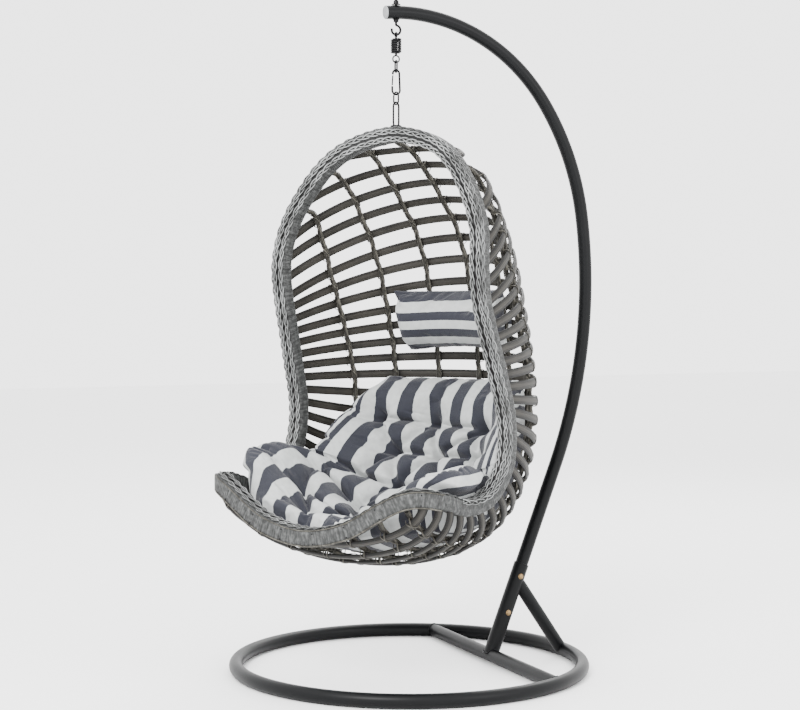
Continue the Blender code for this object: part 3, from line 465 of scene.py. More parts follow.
STEEL = painted_steel("stand_paint", (0.0020, 0.0022, 0.0026), 0.40)
CHAIN = painted_steel("chain_paint", (0.002, 0.002, 0.0024), 0.34, 1500.0)
BRASS = plain_metal("bolt_brass", (0.26, 0.17, 0.08), 0.34)
CAP = painted_steel("cap_plastic", (0.20, 0.205, 0.21), 0.5)
# BRAID, SLAT and WINDING take shade: each strand painted lighter at its crest and darker at its sides, as
# painted light and shade.
BRAID = rattan("braid", (0.006, 0.006, 0.006), (0.045, 0.046, 0.045), (0.22, 0.226, 0.225), shade=0.45)
# Near-black painted shade for the gaps between the braid strands on the rim's front face.
SHADE = rattan("braid_painted_shade", (0.0015, 0.0015, 0.0015), (0.004, 0.004, 0.004), (0.012, 0.012, 0.012),
               along=8.0)
WRAP = rattan("rim_wrap", (0.012, 0.0122, 0.012), (0.034, 0.035, 0.0345), (0.085, 0.087, 0.086),
              along=150.0, across=2.0, mottle=90.0)
SLAT = rattan("slat_cane", (0.0030, 0.0028, 0.0024), (0.0100, 0.0092, 0.0078), (0.027, 0.0248, 0.021),
              along=4.0, across=40.0, crest=0.21, shade=0.5)
WINDING = rattan("rib_winding", (0.003, 0.0027, 0.002), (0.020, 0.0185, 0.015), (0.115, 0.108, 0.09),
                 mottle=110.0, shade=0.25)
CUSHION = striped_fabric("cushion_stripes", STRIPE)
PILLOW = striped_fabric("pillow_stripes", PILLOW_STRIPE)


# Pieces

BASKET = Matrix.Translation((0, HANG_Y, 0)) @ Matrix.Rotation(BASKET_TURN, 4, "Z")


def in_basket(verts):
    return np.asarray(verts) @ np.array(BASKET.to_3x3()).T + np.array(BASKET.translation)


def shifted(y):
    return lambda verts: np.asarray(verts) + [0, y, 0]


in_stand, on_hang_line = shifted(STAND_Y), shifted(HANG_Y)


def settle(piece, body, slot, *nodes):
    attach(piece, body)
    if nodes:
        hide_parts(*nodes)
    return piece


def add_piece(name, grid, finish, body, slot, *nodes, place=in_basket, sharp=None):
    verts, faces, uvs = grid
    return settle(make_object(name, place(verts), faces, finish, uvs, sharp), body, slot, *nodes)


def add_tube(name, points, radius, ups, node, closed=False):
    grid = strand(points, ups, ellipse(radius, radius, TUBE_SIDES), closed)
    add_piece(name, grid, STEEL, "stand", "stand_black", node, place=in_stand, sharp=40)


def add_wire(name, points, radius, body, node, normal, closed=False, place=on_hang_line):
    grid = strand(points, normal, ellipse(radius, radius, WIRE_SIDES), closed)
    add_piece(name, grid, CHAIN, body, "chain_black", node, place=place, sharp=40)


def add_turned(name, profile, spot, axis, finish, body, slot, *nodes, place=on_hang_line, sides=32):
    """A turned piece from (radius, height) pairs, with both ends on the axis."""
    axis = unit(np.asarray(axis, float))
    side = unit(np.cross(axis, (0.0, 0.31, 0.95)))
    profile = np.array(profile, float)
    points = np.asarray(spot, float) + axis * profile[:, 1:]
    section = round_section(np.maximum(profile[:, 0], 0.00001), sides)
    grid = swept(points, side, np.cross(side, axis), section)
    return add_piece(name, grid, finish, body, slot, *nodes, place=place, sharp=30)


# Stand

def arm_path(steps=40):
    y, z = ARM_TIP
    heading = ARM_TIP_RISE
    points = [(0, y, z)]
    for size, turn in ARM_ARCS:
        count = steps if turn else 1
        for _ in range(count):
            chord = 2 * size * math.sin(turn / count / 2) if turn else size
            y += chord * math.cos(heading - turn / count / 2)
            z += chord * math.sin(heading - turn / count / 2)
            heading -= turn / count
            points.append((0, y, z))
    leg = (z - ARM_FOOT_Z) / -math.sin(heading)
    points.append((0, y + leg * math.cos(heading), ARM_FOOT_Z))
    return np.array(points)


ARM = arm_path()


def post_line(z):
    (_, y0, z0), (_, y1, z1) = ARM[-2:]
    return np.array([0, y0 + (z - z0) * (y1 - y0) / (z1 - z0), z])


def build_stand():
    ring = np.column_stack([ellipse(RING_RADIUS, RING_RADIUS, 180), np.full(180, RING_TUBE)])
    add_tube("ring", ring, RING_TUBE, UP, "base_ring", closed=True)
    reach = math.sqrt(RING_RADIUS ** 2 - CROSS_BAR_Y ** 2) - RING_TUBE * 0.6
    bar = [(-reach, CROSS_BAR_Y, RING_TUBE), (reach, CROSS_BAR_Y, RING_TUBE)]
    add_tube("bar", bar, CROSS_BAR_TUBE, UP, "cross_bar")
    foot, top = post_line(RING_TUBE + 0.006), post_line(POST_TOP_Z)
    length = float(np.linalg.norm(top - foot))
    bore = ARM_TUBE + 0.0006
    profile = ((0, 0), (POST_TUBE, 0), (POST_TUBE, length - 0.0012), (POST_TUBE - 0.0008, length - 0.0002),
               (POST_TUBE - 0.0022, length), (bore, length - 0.0004), (bore, length - 0.02),
               (0, length - 0.02))
    add_turned("post", profile, foot, top - foot, STEEL, "stand", "stand_black", "lower_post", place=in_stand,
               sides=TUBE_SIDES)
    brace = np.array([(0, *BRACE_TOP), (0, RING_RADIUS - 0.008, RING_TUBE + 0.004)])
    brace[0] += unit(brace[0] - brace[1]) * BRACE_TUCK
    add_tube("brace", brace, BRACE_TUBE, RIGHT, "rear_brace")
    add_tube("bow_arm", ARM, ARM_TUBE, RIGHT, "arm")
    add_turned("end_cap", END_CAP, ARM[0], ARM[0] - ARM[1], CAP, "stand", "cap_grey", "arm_end_cap",
               place=in_stand)
    out = np.array([POST_TUBE - 0.0004, 0, 0])
    for name, z in (("post_bolt_lower", POST_BOLT_Z[0]), ("post_bolt_upper", POST_BOLT_Z[1])):
        add_turned(f"{name}_head", BOLT_HEAD, post_line(z) + out, RIGHT, BRASS, "stand", "bolt_brass", name,
                   place=in_stand)
        add_turned(f"{name}_nut", BOLT_NUT, post_line(z) - out, (-1, 0, 0), BRASS, "stand", "bolt_brass",
                   place=in_stand, sides=24)
    build_welds()


def weld_bead(name, points):
    """A thin uneven fillet of weld round a joint."""
    swell = WELD + 0.0004 * np.sin(np.arange(len(points)) * 2.1)
    grid = strand(points, (0.13, 0.2, 0.97), round_section(swell, 8), True)
    add_piece(name, grid, STEEL, "stand", "stand_black", place=in_stand)


def ring_round(axis, radius, count=64):
    axis = unit(np.asarray(axis, float))
    side = unit(np.cross(axis, (1.0, 0.1, 0.0)))
    spots = ellipse(radius, radius, count)
    return spots[:, :1] * side + spots[:, 1:] * np.cross(side, axis)


def build_welds():
    reach = math.sqrt((RING_RADIUS - RING_TUBE) ** 2 - CROSS_BAR_Y ** 2)
    for name, side in (("bar_weld_left", -1), ("bar_weld_right", 1)):
        ring = ring_round(RIGHT, CROSS_BAR_TUBE + 0.0006) + [side * reach, CROSS_BAR_Y, RING_TUBE]
        ring[:, 0] -= side * ((ring[:, 1] - CROSS_BAR_Y) * CROSS_BAR_Y / reach)
        bulge = np.sqrt(np.maximum(RING_TUBE ** 2 - (ring[:, 2] - RING_TUBE) ** 2, 0)) - RING_TUBE
        ring[:, 0] -= side * bulge * RING_RADIUS / reach
        ring[:, 2] = np.maximum(ring[:, 2], WELD + 0.0006)
        weld_bead(name, ring)
    axis = unit(post_line(POST_TOP_Z) - post_line(0.05))
    drop = []
    for point in ring_round(axis, POST_TUBE + 0.0006):
        origin = post_line(0.2) + point
        y, z = origin[1] - CROSS_BAR_Y, origin[2] - RING_TUBE
        b = y * axis[1] + z * axis[2]
        root = b * b - (y * y + z * z - CROSS_BAR_TUBE ** 2 * 1.03)
        drop.append(origin - axis * (b - math.sqrt(max(root, 0.0))))
    weld_bead("post_weld", drop)


# Suspension

def turned_arc(radius, start, end, count, centre_z):
    angles = np.radians(np.linspace(start, end, count))
    return np.stack([np.zeros(count), radius * np.cos(angles), centre_z + radius * np.sin(angles)], -1)


def turned_by(loop, turn):
    """Points in the hang line's y-z plane, turned about it so that y comes to the angle from x."""
    return np.stack([loop[:, 1] * math.cos(turn), loop[:, 1] * math.sin(turn), loop[:, 2]], -1)


def add_link(name, size, turn, node):
    """A closed long link in a vertical plane turned about the hang line."""
    half_width, top, bottom = size
    loop = np.vstack([turned_arc(half_width, 0, 180, 20, top - half_width),
                      turned_arc(half_width, 180, 360, 20, bottom + half_width)])
    add_wire(name, turned_by(loop, turn), LINK_WIRE, node, node, (-math.sin(turn), math.cos(turn), 0), True)


def build_hook():
    stem = np.array([(0, 0, SHANK_TOP_Z), (0, 0, HOOK_NECK_Z), (0, 0, HOOK_CENTRE_Z + HOOK_BEND + 0.002)])
    hook = np.vstack([stem, turned_arc(HOOK_BEND, 90, -195, 48, HOOK_CENTRE_Z)[2:]])
    add_wire("open_hook", resampled(smooth_curve(hook, 6), 0.0012), HOOK_WIRE, "stand", "hook_bolt", RIGHT)
    for name, profile, z in (("dome_nut", DOME_NUT, DOME_NUT_Z), ("lock_nut", LOCK_NUT, LOCK_NUT_Z)):
        add_turned(name, profile, (0, 0, z), UP, CHAIN, "stand", "chain_black", f"hook_{name}")


def build_spring():
    for end, (centre_z, bend), turn, towards, plug_z in (
            ("top", TOP_EYE, 0.0, -1, COIL_TOP - 0.001),
            ("bottom", LOWER_EYE, math.pi / 2, 1, COIL_BOTTOM + 0.001)):
        name, body = f"spring_hook_{end}", f"spring_{end}"
        eye = ellipse(bend, bend, 48)
        ring = np.stack([eye[:, 0] * math.cos(turn), eye[:, 0] * math.sin(turn), centre_z + eye[:, 1]], -1)
        add_wire(name, ring, SPRING_WIRE, body, f"{body}_hook", (math.sin(turn), -math.cos(turn), 0), True)
        lo, hi = sorted((plug_z, plug_z + towards * 0.008))
        radius = SPRING_MEAN - SPRING_WIRE - 0.0006
        neck = radius - 0.0008
        plug = ((0, lo), (radius, lo), (radius, lo + 0.002), (neck, lo + 0.003), (neck, hi - 0.003),
                (radius, hi - 0.002), (radius, hi), (0, hi))
        add_turned(f"{name}_plug", plug, (0, 0, 0), UP, CHAIN, body, "chain_black")
        lo, hi = sorted((centre_z + towards * bend, plug_z))
        stem = ((0, lo), (0.0034, lo), (0.0030, hi), (0, hi))
        add_turned(f"{name}_stem", stem, (0, 0, 0), UP, CHAIN, body, "chain_black")
    turns = np.linspace(0, SPRING_TURNS * TAU, SPRING_TURNS * 40 + 1)
    coil = np.stack([SPRING_MEAN * np.cos(turns), SPRING_MEAN * np.sin(turns),
                     COIL_TOP - SPRING_WIRE - SPRING_PITCH * turns / TAU], -1)
    verts, faces, uvs = strand(coil, UP, ellipse(SPRING_WIRE, SPRING_WIRE, WIRE_SIDES))
    spring = make_object("coil", on_hang_line(verts), faces, CHAIN, uvs, 40)
    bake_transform(spring)
    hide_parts("spring_coil")


def build_snap_hook():
    hinge = np.array([0, -SNAP_BEND, SNAP_FLOOR + SNAP_HINGE_RISE])
    nose = np.array([0, -SNAP_NOSE, SNAP_TOP - SNAP_NOSE - 0.003])
    bend = turned_arc(SNAP_BEND, 180, 360, 24, SNAP_FLOOR + SNAP_BEND)
    crook = turned_arc(SNAP_NOSE, 0, 180, 24, SNAP_TOP - SNAP_NOSE)
    snap = np.vstack([hinge - [0, 0, 0.0036], bend, crook, nose])
    add_wire("snap", resampled(snap, 0.0012), SNAP_WIRE, "snap_hook", "snap_hook", RIGHT)
    along = unit(nose - hinge)
    gate = resampled(np.array([hinge - along * 0.0012, nose - along * 0.0026]), 0.002)
    add_wire("gate", gate, GATE_WIRE, "snap_gate", "snap_gate", RIGHT)


def build_hanger():
    foot = HANGER_FOOT_Z
    upper = turned_arc(HANGER_BEND, 0, 180, 32, HANGER_TOP - HANGER_BEND)
    legs = [(0, HANGER_BEND - 0.002, foot + 0.003), (0, HANGER_BEND, foot + 0.014)]
    loop = np.vstack([legs, upper, [(0, -y, z) for _, y, z in legs[::-1]]])
    loop = resampled(loop, 0.0015)
    add_wire("hanger", loop, HANGER_WIRE, "basket", "basket_hanger", RIGHT, place=in_basket)
    add_turned("hanger_foot", HANGER_PLATE, (0, 0, foot), UP, CHAIN, "basket", "chain_black", place=in_basket)


# Basket

def build_rim():
    """The rim's core with a close wrap: a ridge for every turn of the strand and a soft band at intervals,
    its front face painted near-black as shade between the braid strands.
    """
    length = 2 * RIM_TOTAL
    turns = round(length / WRAP_PITCH)
    where = np.arange(turns * 5) * length / (turns * 5)
    centre, outward, front = rim_at(where)
    base = rounded_box(RIM_WIDE / 2 - 0.0018, RIM_DEEP / 2 - 0.0040, 0.010)
    normal = unit(base / [RIM_WIDE / 2, RIM_DEEP / 2])
    ridge = 0.0009 * np.abs(np.sin(where * math.pi * turns / length))
    band = BAND_RISE * (np.abs(np.mod(where / 0.135, 1.0) - 0.5) < 0.045)
    section = base[None] + normal[None] * (ridge + band)[:, None, None]
    verts, faces, uvs = swept(centre, outward, front, section, True)
    body = make_object("rim_wrap", in_basket(verts), faces, WRAP, uvs)
    # The flat of the front face, under the braid rows, takes SHADE: painted shade in the gaps between the
    # strands.
    body.data.materials.append(SHADE)
    corner = np.array([face[0] % len(base) for face in faces])
    body.data.polygons.foreach_set("material_index", (corner == 3).astype(int))
    settle(body, "basket", "rim_braid", "rim_frame")


def plait(row, lift, first, last, outer=False):
    """Three flat strands plaited along the rim between two lengths; outer lays them on the outer face."""
    length = last - first
    closed = abs(length - 2 * RIM_TOTAL) < 0.001
    periods = round(length / BRAID_PITCH)
    count = periods * 14
    where = first + np.arange(count + (not closed)) * length / count
    centre, outward, front = rim_at(where)
    across, proud = (front, outward) if outer else (outward, front)
    phase = (where - first) * TAU * periods / length
    parts = []
    for k in range(3):
        angle = phase + TAU * k / 3
        points = centre + across * (row + BRAID_SWAY * np.sin(angle))[:, None] \
            + proud * (lift + BRAID_RISE * np.sin(2 * angle))[:, None]
        parts.append(strand(points, proud, ellipse(STRAND_HALF, STRAND_THICK, 8), closed))
    return parts


def build_braid():
    faces = [part for row in BRAID_ROWS for part in plait(row, RIM_DEEP / 2 - 0.0022, 0.0, 2 * RIM_TOTAL)]
    reach = EDGE_BRAID_REACH
    edge = plait(RIM_DEEP / 2 - 0.0075, RIM_WIDE / 2 - 0.0012, -reach, reach, outer=True)
    for name, parts in (("rim_braid", faces), ("rim_edge_braid", edge)):
        add_piece(name, combine(parts), BRAID, "basket", "rim_braid")


def build_fascia():
    """The lip's outer face: upright strands close together, bands, a hem strand and small nails."""
    first, last = FASCIA_FIRST, 2 * RIM_TOTAL - FASCIA_FIRST
    turns = round((last - first) / FASCIA_PITCH)
    where = np.linspace(first, last, turns * 5 + 1)
    centre, outward, front = rim_at(where)
    ridge = 0.0016 * np.abs(np.sin((where - first) * math.pi * turns / (last - first)))
    bulge = ridge + BAND_RISE * (np.abs(np.mod((where - RIM_TOTAL) / NAIL_PITCH + 0.2, 1.0) - 0.5) < 0.06)
    near, proud = np.full(len(where), RIM_WIDE / 2 - 0.001), RIM_WIDE / 2 + 0.0028
    low, high = -RIM_DEEP / 2 + 0.001, RIM_DEEP / 2 - 0.009
    out = np.column_stack([near, proud + np.outer(bulge, (0.9, 1, 1, 1, 0.9)), near])
    levels = [low, *np.linspace(low + 0.001, high, 5), high + 0.001]
    section = np.stack(np.broadcast_arrays(out, levels), -1)
    add_piece("fascia", swept(centre, outward, front, section), WRAP, "basket", "rim_braid", "front_fascia")
    hems = [strand(centre + outward * (proud + 0.0002) + front * level, outward, ellipse(radius, radius, 8))
            for level, radius in ((high + 0.0022, 0.0018), (low, 0.0026))]
    add_piece("fascia_hems", combine(hems), WINDING, "basket", "rim_braid")
    nails = []
    for spot in np.arange(first + 0.06, last, NAIL_PITCH):
        (c,), (o,), (f,) = rim_at([spot])
        for level in (low + 0.006, high - 0.006):
            base = c + o * (proud + 0.0018) + f * level
            run = np.array([base, base + o * 0.0008, base + o * 0.0014])
            nails.append(swept(run, f, np.cross(o, f), round_section((0.0022, 0.0020, 0.0008), 10)))
    add_piece("fascia_nails", combine(nails), CHAIN, "basket", "chain_black")


def slat_section():
    """Half-round outside with fine grooves, shallow channel inside, as (across, outward)."""
    inner = [(-12.9, -0.4), (-12.4, -2.6), (-10.8, -3.7), (-8.4, -3.6), (-7.2, -2), (-3.5, -2.4), (0, -2.6)]
    outer = [(12.7, 1.4), (10.9, 2.9), (8.9, 3.8), (8.2, 3.3), (7.5, 4.1), (4.4, 4.7), (3.7, 4.2), (3, 4.8),
             (0, 5)]
    inner, outer = (half + [(-x, y) for x, y in half[-2::-1]] for half in (inner, outer))
    return millimetres(*inner, *outer)


def build_slats():
    section = slat_section()
    angles = np.linspace(0, math.pi, 97)
    for index in range(SLATS):
        _, across, inward = surface_axes(index, angles)
        verts, faces, uvs = swept(surface(index, angles), across, -inward, section)
        grid = verts, faces, uvs + [index * 1.7, 0]
        number = f"{index + 1:02d}"
        add_piece(f"cane_{number}", grid, SLAT, "basket", "slat_brown", f"slat_{number}", sharp=50)


def build_ribs():
    """Rods with two flat strands wound round each, and the lashings that tie the slats to them."""
    for number, u in enumerate(RIB_PLACES, 1):
        curve, places = rib_path(u)
        lengths = lengths_along(curve)
        where = np.arange(0, lengths[-1], 0.0016)
        points = at_lengths(curve, lengths, where)
        side, up = path_frames(points, RIGHT)
        swell = RIB_ROD + 0.0009 * np.abs(np.sin(where * math.pi / 0.0052))
        parts = [swept(points, side, up, round_section(swell, 12))]
        index_at = np.interp(where, lengths, places)
        reach = RIB_ROD + 0.0016 + 0.0012 * np.cos(index_at * TAU) ** 2
        for sign in (-1, 1):
            angle = sign * index_at * math.pi + math.pi / 2
            lane = points + (side * np.cos(angle)[:, None] + up * np.sin(angle)[:, None]) * reach[:, None]
            parts.append(strand(lane, unit(lane - points), ellipse(0.0026, 0.0010, 6)))
        add_piece(f"wound_rib_{number}", combine(parts), WINDING, "basket", "rib_wrap", f"rib_{number}")
        add_piece(f"lashing_{number}", combine(lashes(curve, places)), WINDING, "basket", "rib_wrap")


def lashes(curve, places):
    """Crossed strands that tie each slat to the rib, over the slat's outer face."""
    parts = []
    for index in range(max(0, math.ceil(places[0] + 0.3)), SLATS):
        spot = at_lengths(curve, places, np.array([float(index)]))[0]
        angles = np.linspace(0.05, math.pi - 0.05, 181)
        ring = surface(index, angles) + surface_axes(index, angles)[2] * RIB_INSET
        angle = angles[np.argmin(np.linalg.norm(ring - spot, axis=1))]
        along, across, inward = surface_axes(index, angle)
        centre = surface(index, angle)
        for flip in (-1, 1):
            local = LASHING * [flip, 1, 1]
            points = centre + local[:, :1] * along + local[:, 1:2] * across - local[:, 2:] * inward
            points = resampled(smooth_curve(points, 4), 0.0035)
            out = unit(points - (centre + inward * 0.012))
            parts.append(strand(points, out, ellipse(LASH_HALF * 1.5, 0.0009, 6)))
    return parts


# Soft parts

PAD_INSET = 0.032                 # the pads' undersides inside the hoops
SEAT_ROWS = (                     # hoop, half width, thickness, share of the thickness left at the sides
    (27.0, 0.215, 0.050, 2.30), (26.4, 0.285, 0.070, 2.46), (25.4, 0.325, 0.090, 2.24),
    (24.0, 0.338, 0.115, 1.90), (22.4, 0.340, 0.135, 1.70), (20.8, 0.340, 0.150, 1.41),
    (19.4, 0.338, 0.160, 1.00), (17.6, 0.335, 0.168, 0.77), (15.5, 0.328, 0.150, 0.70),
    (14.2, 0.312, 0.125, 0.72), (13.0, 0.290, 0.100, 0.70), (12.0, 0.255, 0.060, 0.58),
)
SEAT_TUFTS = (                    # hoop and u of each button
    (25.2, -0.105), (25.2, 0.075), (23.6, -0.215), (23.6, -0.020), (23.6, 0.200), (21.2, -0.255),
    (21.2, -0.105), (21.2, 0.075), (21.2, 0.255), (18.7, -0.190), (18.7, -0.065), (18.7, 0.085),
    (18.7, 0.220), (16.4, -0.140), (16.4, 0.0), (16.4, 0.150), (14.5, -0.220), (14.5, -0.065), (14.7, 0.130)
)
PILLOW_ROWS = (
    (10.60, 0.198, 0.020, 0.30), (10.0, 0.212, 0.070, 0.35), (8.7, 0.215, 0.090, 0.35),
    (7.4, 0.212, 0.070, 0.35), (6.85, 0.203, 0.020, 0.30),
)
SEAT_LEAN = 0.22                  # how much fuller the seat is on its left, for each metre across
PILLOW_U = -0.020
ARM_REST_LIFT = 1.5               # how upright the seat's sides stand, against leaning with the hoops
CLOTH_PER_HOOP = 0.0745           # flat cloth length for one hoop
PAD_GRID = (61, 41)               # the flat pad's points along and across
CLOTH_FRAMES = 20
BOLSTER = (23.0, 2.6, 0.050, 0.022)   # hoop, reach in hoops, reach across and rise of the arm rests' rolls


class PadMap:
    """Bends flat cloth (across, along, height) onto the basket, above the hoops from first to last."""

    def __init__(self, rows, centre_u):
        self.rows = np.array(sorted(rows))
        self.first = self.rows[0, 0]
        self.indices = np.linspace(self.first - 0.8, self.rows[-1, 0] + 0.8, 81)
        grid = inset_grid(PAD_INSET, self.indices, 61)
        self.reach = np.linspace(0, 0.56, 71)
        self.places = np.empty((len(self.indices), len(self.reach), 3))
        self.runs = []
        for i, row in enumerate(grid):
            row = row[:np.argmax(row[:, 0]) + 1]
            run = lengths_along(row)
            self.places[i] = at_lengths(row, run, self.reach)
            past = np.maximum(self.reach - run[-1], 0.0)[:, None]
            self.places[i] += past * unit(row[-1] - row[-4])
            self.runs.append((row[:, 0], run))
        v, z, sv, sz = (np.interp(self.indices, HOOP_INDEX, HOOPS[:, i]) for i in range(1, 5))
        self.lift = unit(np.stack([0 * v, v - sv, z - sz], -1))
        self.centre_u = centre_u

    def row(self, index):
        """Half width in u, thickness and side share at hoop numbers, smoothed a little."""
        spread = np.array([-0.6, -0.3, 0.0, 0.3, 0.6])
        index = np.asarray(index, float)[..., None] + spread
        return [np.interp(index, self.rows[:, 0], self.rows[:, k]).mean(-1) for k in (1, 2, 3)]

    def across(self, index, u):
        """The flat distance across at a point with this u."""
        i = int(np.clip(round((index - self.indices[0]) / (self.indices[1] - self.indices[0])), 0,
                        len(self.indices) - 1))
        widths, run = self.runs[i]
        return math.copysign(np.interp(abs(u), widths, run), u)

    def along(self, index):
        return (index - self.first) * CLOTH_PER_HOOP

    def bend(self, co):
        hoop = co[:, 1] / CLOTH_PER_HOOP + self.first
        index = (hoop - self.indices[0]) / (self.indices[1] - self.indices[0])
        reach = np.abs(co[:, 0]) / (self.reach[1] - self.reach[0])
        i = np.clip(index.astype(int), 0, len(self.indices) - 2)
        j = np.clip(reach.astype(int), 0, len(self.reach) - 2)
        p, q = (index - i)[:, None], (reach - j)[:, None]
        spot = self.places[i, j] * (1 - p) * (1 - q) + self.places[i + 1, j] * p * (1 - q) \
            + self.places[i, j + 1] * (1 - p) * q + self.places[i + 1, j + 1] * p * q
        lift = unit(self.lift[i] * (1 - p) + self.lift[i + 1] * p)
        upright = np.clip((hoop - 18) / 3, 0, 1) * np.clip((spot[:, 0] - 0.12) / 0.18, 0, 1) * ARM_REST_LIFT
        lift = unit(lift + upright[:, None] * [0, 0, 1])
        out = spot + lift * co[:, 2:]
        out[:, 0] *= np.where(co[:, 0] < 0, -1.0, 1.0)
        return out


def flat_pad(name, shape, inner, voxel):
    """A flat closed pad over the hoops, remeshed; inner is how far it stays inside its outline."""
    rows, columns = PAD_GRID
    indices = np.linspace(shape.rows[0, 0], shape.rows[-1, 0], rows)
    halves, thick, share = shape.row(indices)
    ys = np.linspace(shape.along(indices[0]) + inner, shape.along(indices[-1]) - inner, rows)
    tops = np.empty((rows, columns, 3))
    for k, (index, half) in enumerate(zip(indices, halves)):
        left, right = (shape.across(index, shape.centre_u + side * half) - side * inner for side in (-1, 1))
        t = np.linspace(-1, 1, columns)
        fall = np.sqrt(1 - t ** 4) if share[k] < 1 else 1 - np.minimum((t / 0.86) ** 2, 1)
        crown = share[k] + (1 - share[k]) * fall
        rounded = np.sqrt(1 - t ** 12 * 0.8)
        ends = min(k, rows - 1 - k) / (rows - 1)
        rise = 1 - 0.45 * math.exp(-(ends / 0.05) ** 2)
        tops[k] = np.stack([(left + right) / 2 + t * (right - left) / 2, np.full(columns, ys[k]),
                            (thick[k] - inner) * crown * rounded * rise], -1)
    bm = bmesh.new()
    layers = []
    for layer in (tops, tops * [1, 1, 0]):
        layers.append([[bm.verts.new(point) for point in row] for row in layer])
        for here, there in zip(layers[-1], layers[-1][1:]):
            for i in range(columns - 1):
                bm.faces.new((here[i], here[i + 1], there[i + 1], there[i]))
    edge = [(0, i) for i in range(columns)] + [(k, columns - 1) for k in range(1, rows)]
    edge += [(rows - 1, i) for i in range(columns - 2, -1, -1)] + [(k, 0) for k in range(rows - 2, 0, -1)]
    for (a, b), (c, d) in zip(edge, edge[1:] + edge[:1]):
        bm.faces.new((layers[0][a][b], layers[1][a][b], layers[1][c][d], layers[0][c][d]))
    bmesh.ops.recalc_face_normals(bm, faces=bm.faces)
    mesh = bpy.data.meshes.new(name)
    bm.to_mesh(mesh)
    bm.free()
    pad = link_object(name, mesh)
    step = pad.modifiers.new("even", "REMESH")
    step.mode = "VOXEL"
    step.voxel_size = voxel
    apply_modifiers(pad)
    return pad


def positions(obj):
    co = np.empty(len(obj.data.vertices) * 3, np.float32)
    obj.data.vertices.foreach_get("co", co)
    return co.reshape(-1, 3).astype(float)


def set_positions(obj, co):
    obj.data.vertices.foreach_set("co", np.asarray(co, np.float32).ravel())
    obj.data.update()


def apply_modifiers(obj):
    graph = bpy.context.evaluated_depsgraph_get()
    mesh = bpy.data.meshes.new_from_object(obj.evaluated_get(graph))
    obj.modifiers.clear()
    obj.data = mesh


def dimple(co, tufts, depth, spread):
    """Lowers the pad's top round each tuft, and a little along the folds between neighbouring tufts."""
    top = np.clip((co[:, 2] - 0.020) / 0.030, 0, 1)
    dip = np.zeros(len(co))
    for x, y in tufts:
        away = np.hypot(co[:, 0] - x, co[:, 1] - y)
        dip = np.maximum(dip, depth * np.exp(-(away / spread) ** 1.5))
    for i, a in enumerate(tufts):
        for b in tufts[i + 1:]:
            span = math.hypot(b[0] - a[0], b[1] - a[1])
            if span > 0.205:
                continue
            x, y = b[0] - a[0], b[1] - a[1]
            t = np.clip(((co[:, 0] - a[0]) * x + (co[:, 1] - a[1]) * y) / span ** 2, 0, 1)
            away = np.hypot(co[:, 0] - a[0] - t * x, co[:, 1] - a[1] - t * y)
            dip = np.maximum(dip, depth * 0.45 * np.exp(-(away / 0.016) ** 2))
    co[:, 2] -= dip * top * np.clip(co[:, 2] / 0.10, 0.5, 1.3)
    return co


def puff(pad, tufts, pressure, slack, cap):
    """Inflates the pad as sewn cloth held at its tufts, then keeps every point within cap of its start."""
    start = positions(pad)
    group = pad.vertex_groups.new(name="held")
    held = start[:, 2] < 0.001
    for x, y in tufts:
        held |= np.hypot(start[:, 0] - x, start[:, 1] - y) < 0.010
    group.add([int(i) for i in np.nonzero(held)[0]], 1.0, "REPLACE")
    cloth = pad.modifiers.new("cloth", "CLOTH")
    settings = cloth.settings
    settings.use_pressure = True
    settings.uniform_pressure_force = pressure
    settings.vertex_group_mass = "held"
    settings.shrink_min = -slack
    settings.quality = 5
    settings.mass = 0.3
    settings.tension_stiffness = settings.compression_stiffness = 15
    settings.bending_stiffness = 0.25
    settings.effector_weights.gravity = 0
    scene = bpy.context.scene
    for number in range(1, CLOTH_FRAMES + 1):
        scene.frame_set(number)
    apply_modifiers(pad)
    scene.frame_set(1)
    moved = positions(pad) - start
    size = np.linalg.norm(moved, axis=1, keepdims=True)
    set_positions(pad, start + moved * np.minimum(1.0, cap / np.maximum(size, 1e-9)))
    step = pad.modifiers.new("round", "SUBSURF")
    step.levels = step.render_levels = 1
    apply_modifiers(pad)


def keep_cloth_place(pad, co):
    """Stores where each point lay on the flat cloth, for the stripes and the weave."""
    stored = pad.data.attributes.new("cross", "FLOAT_VECTOR", "POINT")
    stored.data.foreach_set("vector", np.asarray(co, np.float32).ravel())


def clear_of_rim(co, lap):
    """Laps the pad's side over the rim where it stands above it, and keeps it off the rim below that."""
    wall, ledge = -RIM_WIDE / 2 - 0.005, RIM_DEEP / 2 + 0.003
    where = np.linspace(0.9, 2 * RIM_TOTAL - 0.9, 360)
    centre, outward, front = rim_at(where)
    for begin in range(0, len(co), 8000):
        part = co[begin:begin + 8000]
        nearest = np.argmin(((part[:, None] - centre[None]) ** 2).sum(-1), 1)
        c, o, f = centre[nearest], outward[nearest], front[nearest]
        out = ((part - c) * o).sum(-1)
        rise = ((part - c) * f).sum(-1)
        near = np.clip((out + 0.085) / 0.060, 0, 1) * (out < 0.05)
        above = np.clip((rise - RIM_DEEP / 2 - 0.004) / 0.030, 0, 1)
        ease = above * above * (3 - 2 * above)
        part = part + o * (lap * near * ease)[:, None]
        out = out + lap * near * ease
        inside = (out > wall) & (rise < ledge) & (rise > -ledge)
        upward = (ledge - rise) < (out - wall)
        part = part + np.where((inside & ~upward)[:, None], o * (wall - out)[:, None], 0)
        part = part + np.where((inside & upward)[:, None], f * (ledge - rise)[:, None], 0)
        co[begin:begin + 8000] = part
    return co


def dress(pad, finish, node):
    pad.data.materials.clear()
    pad.data.materials.append(finish)
    pad.data.shade_smooth()
    settle(pad, "basket", "cushion_fabric", node)


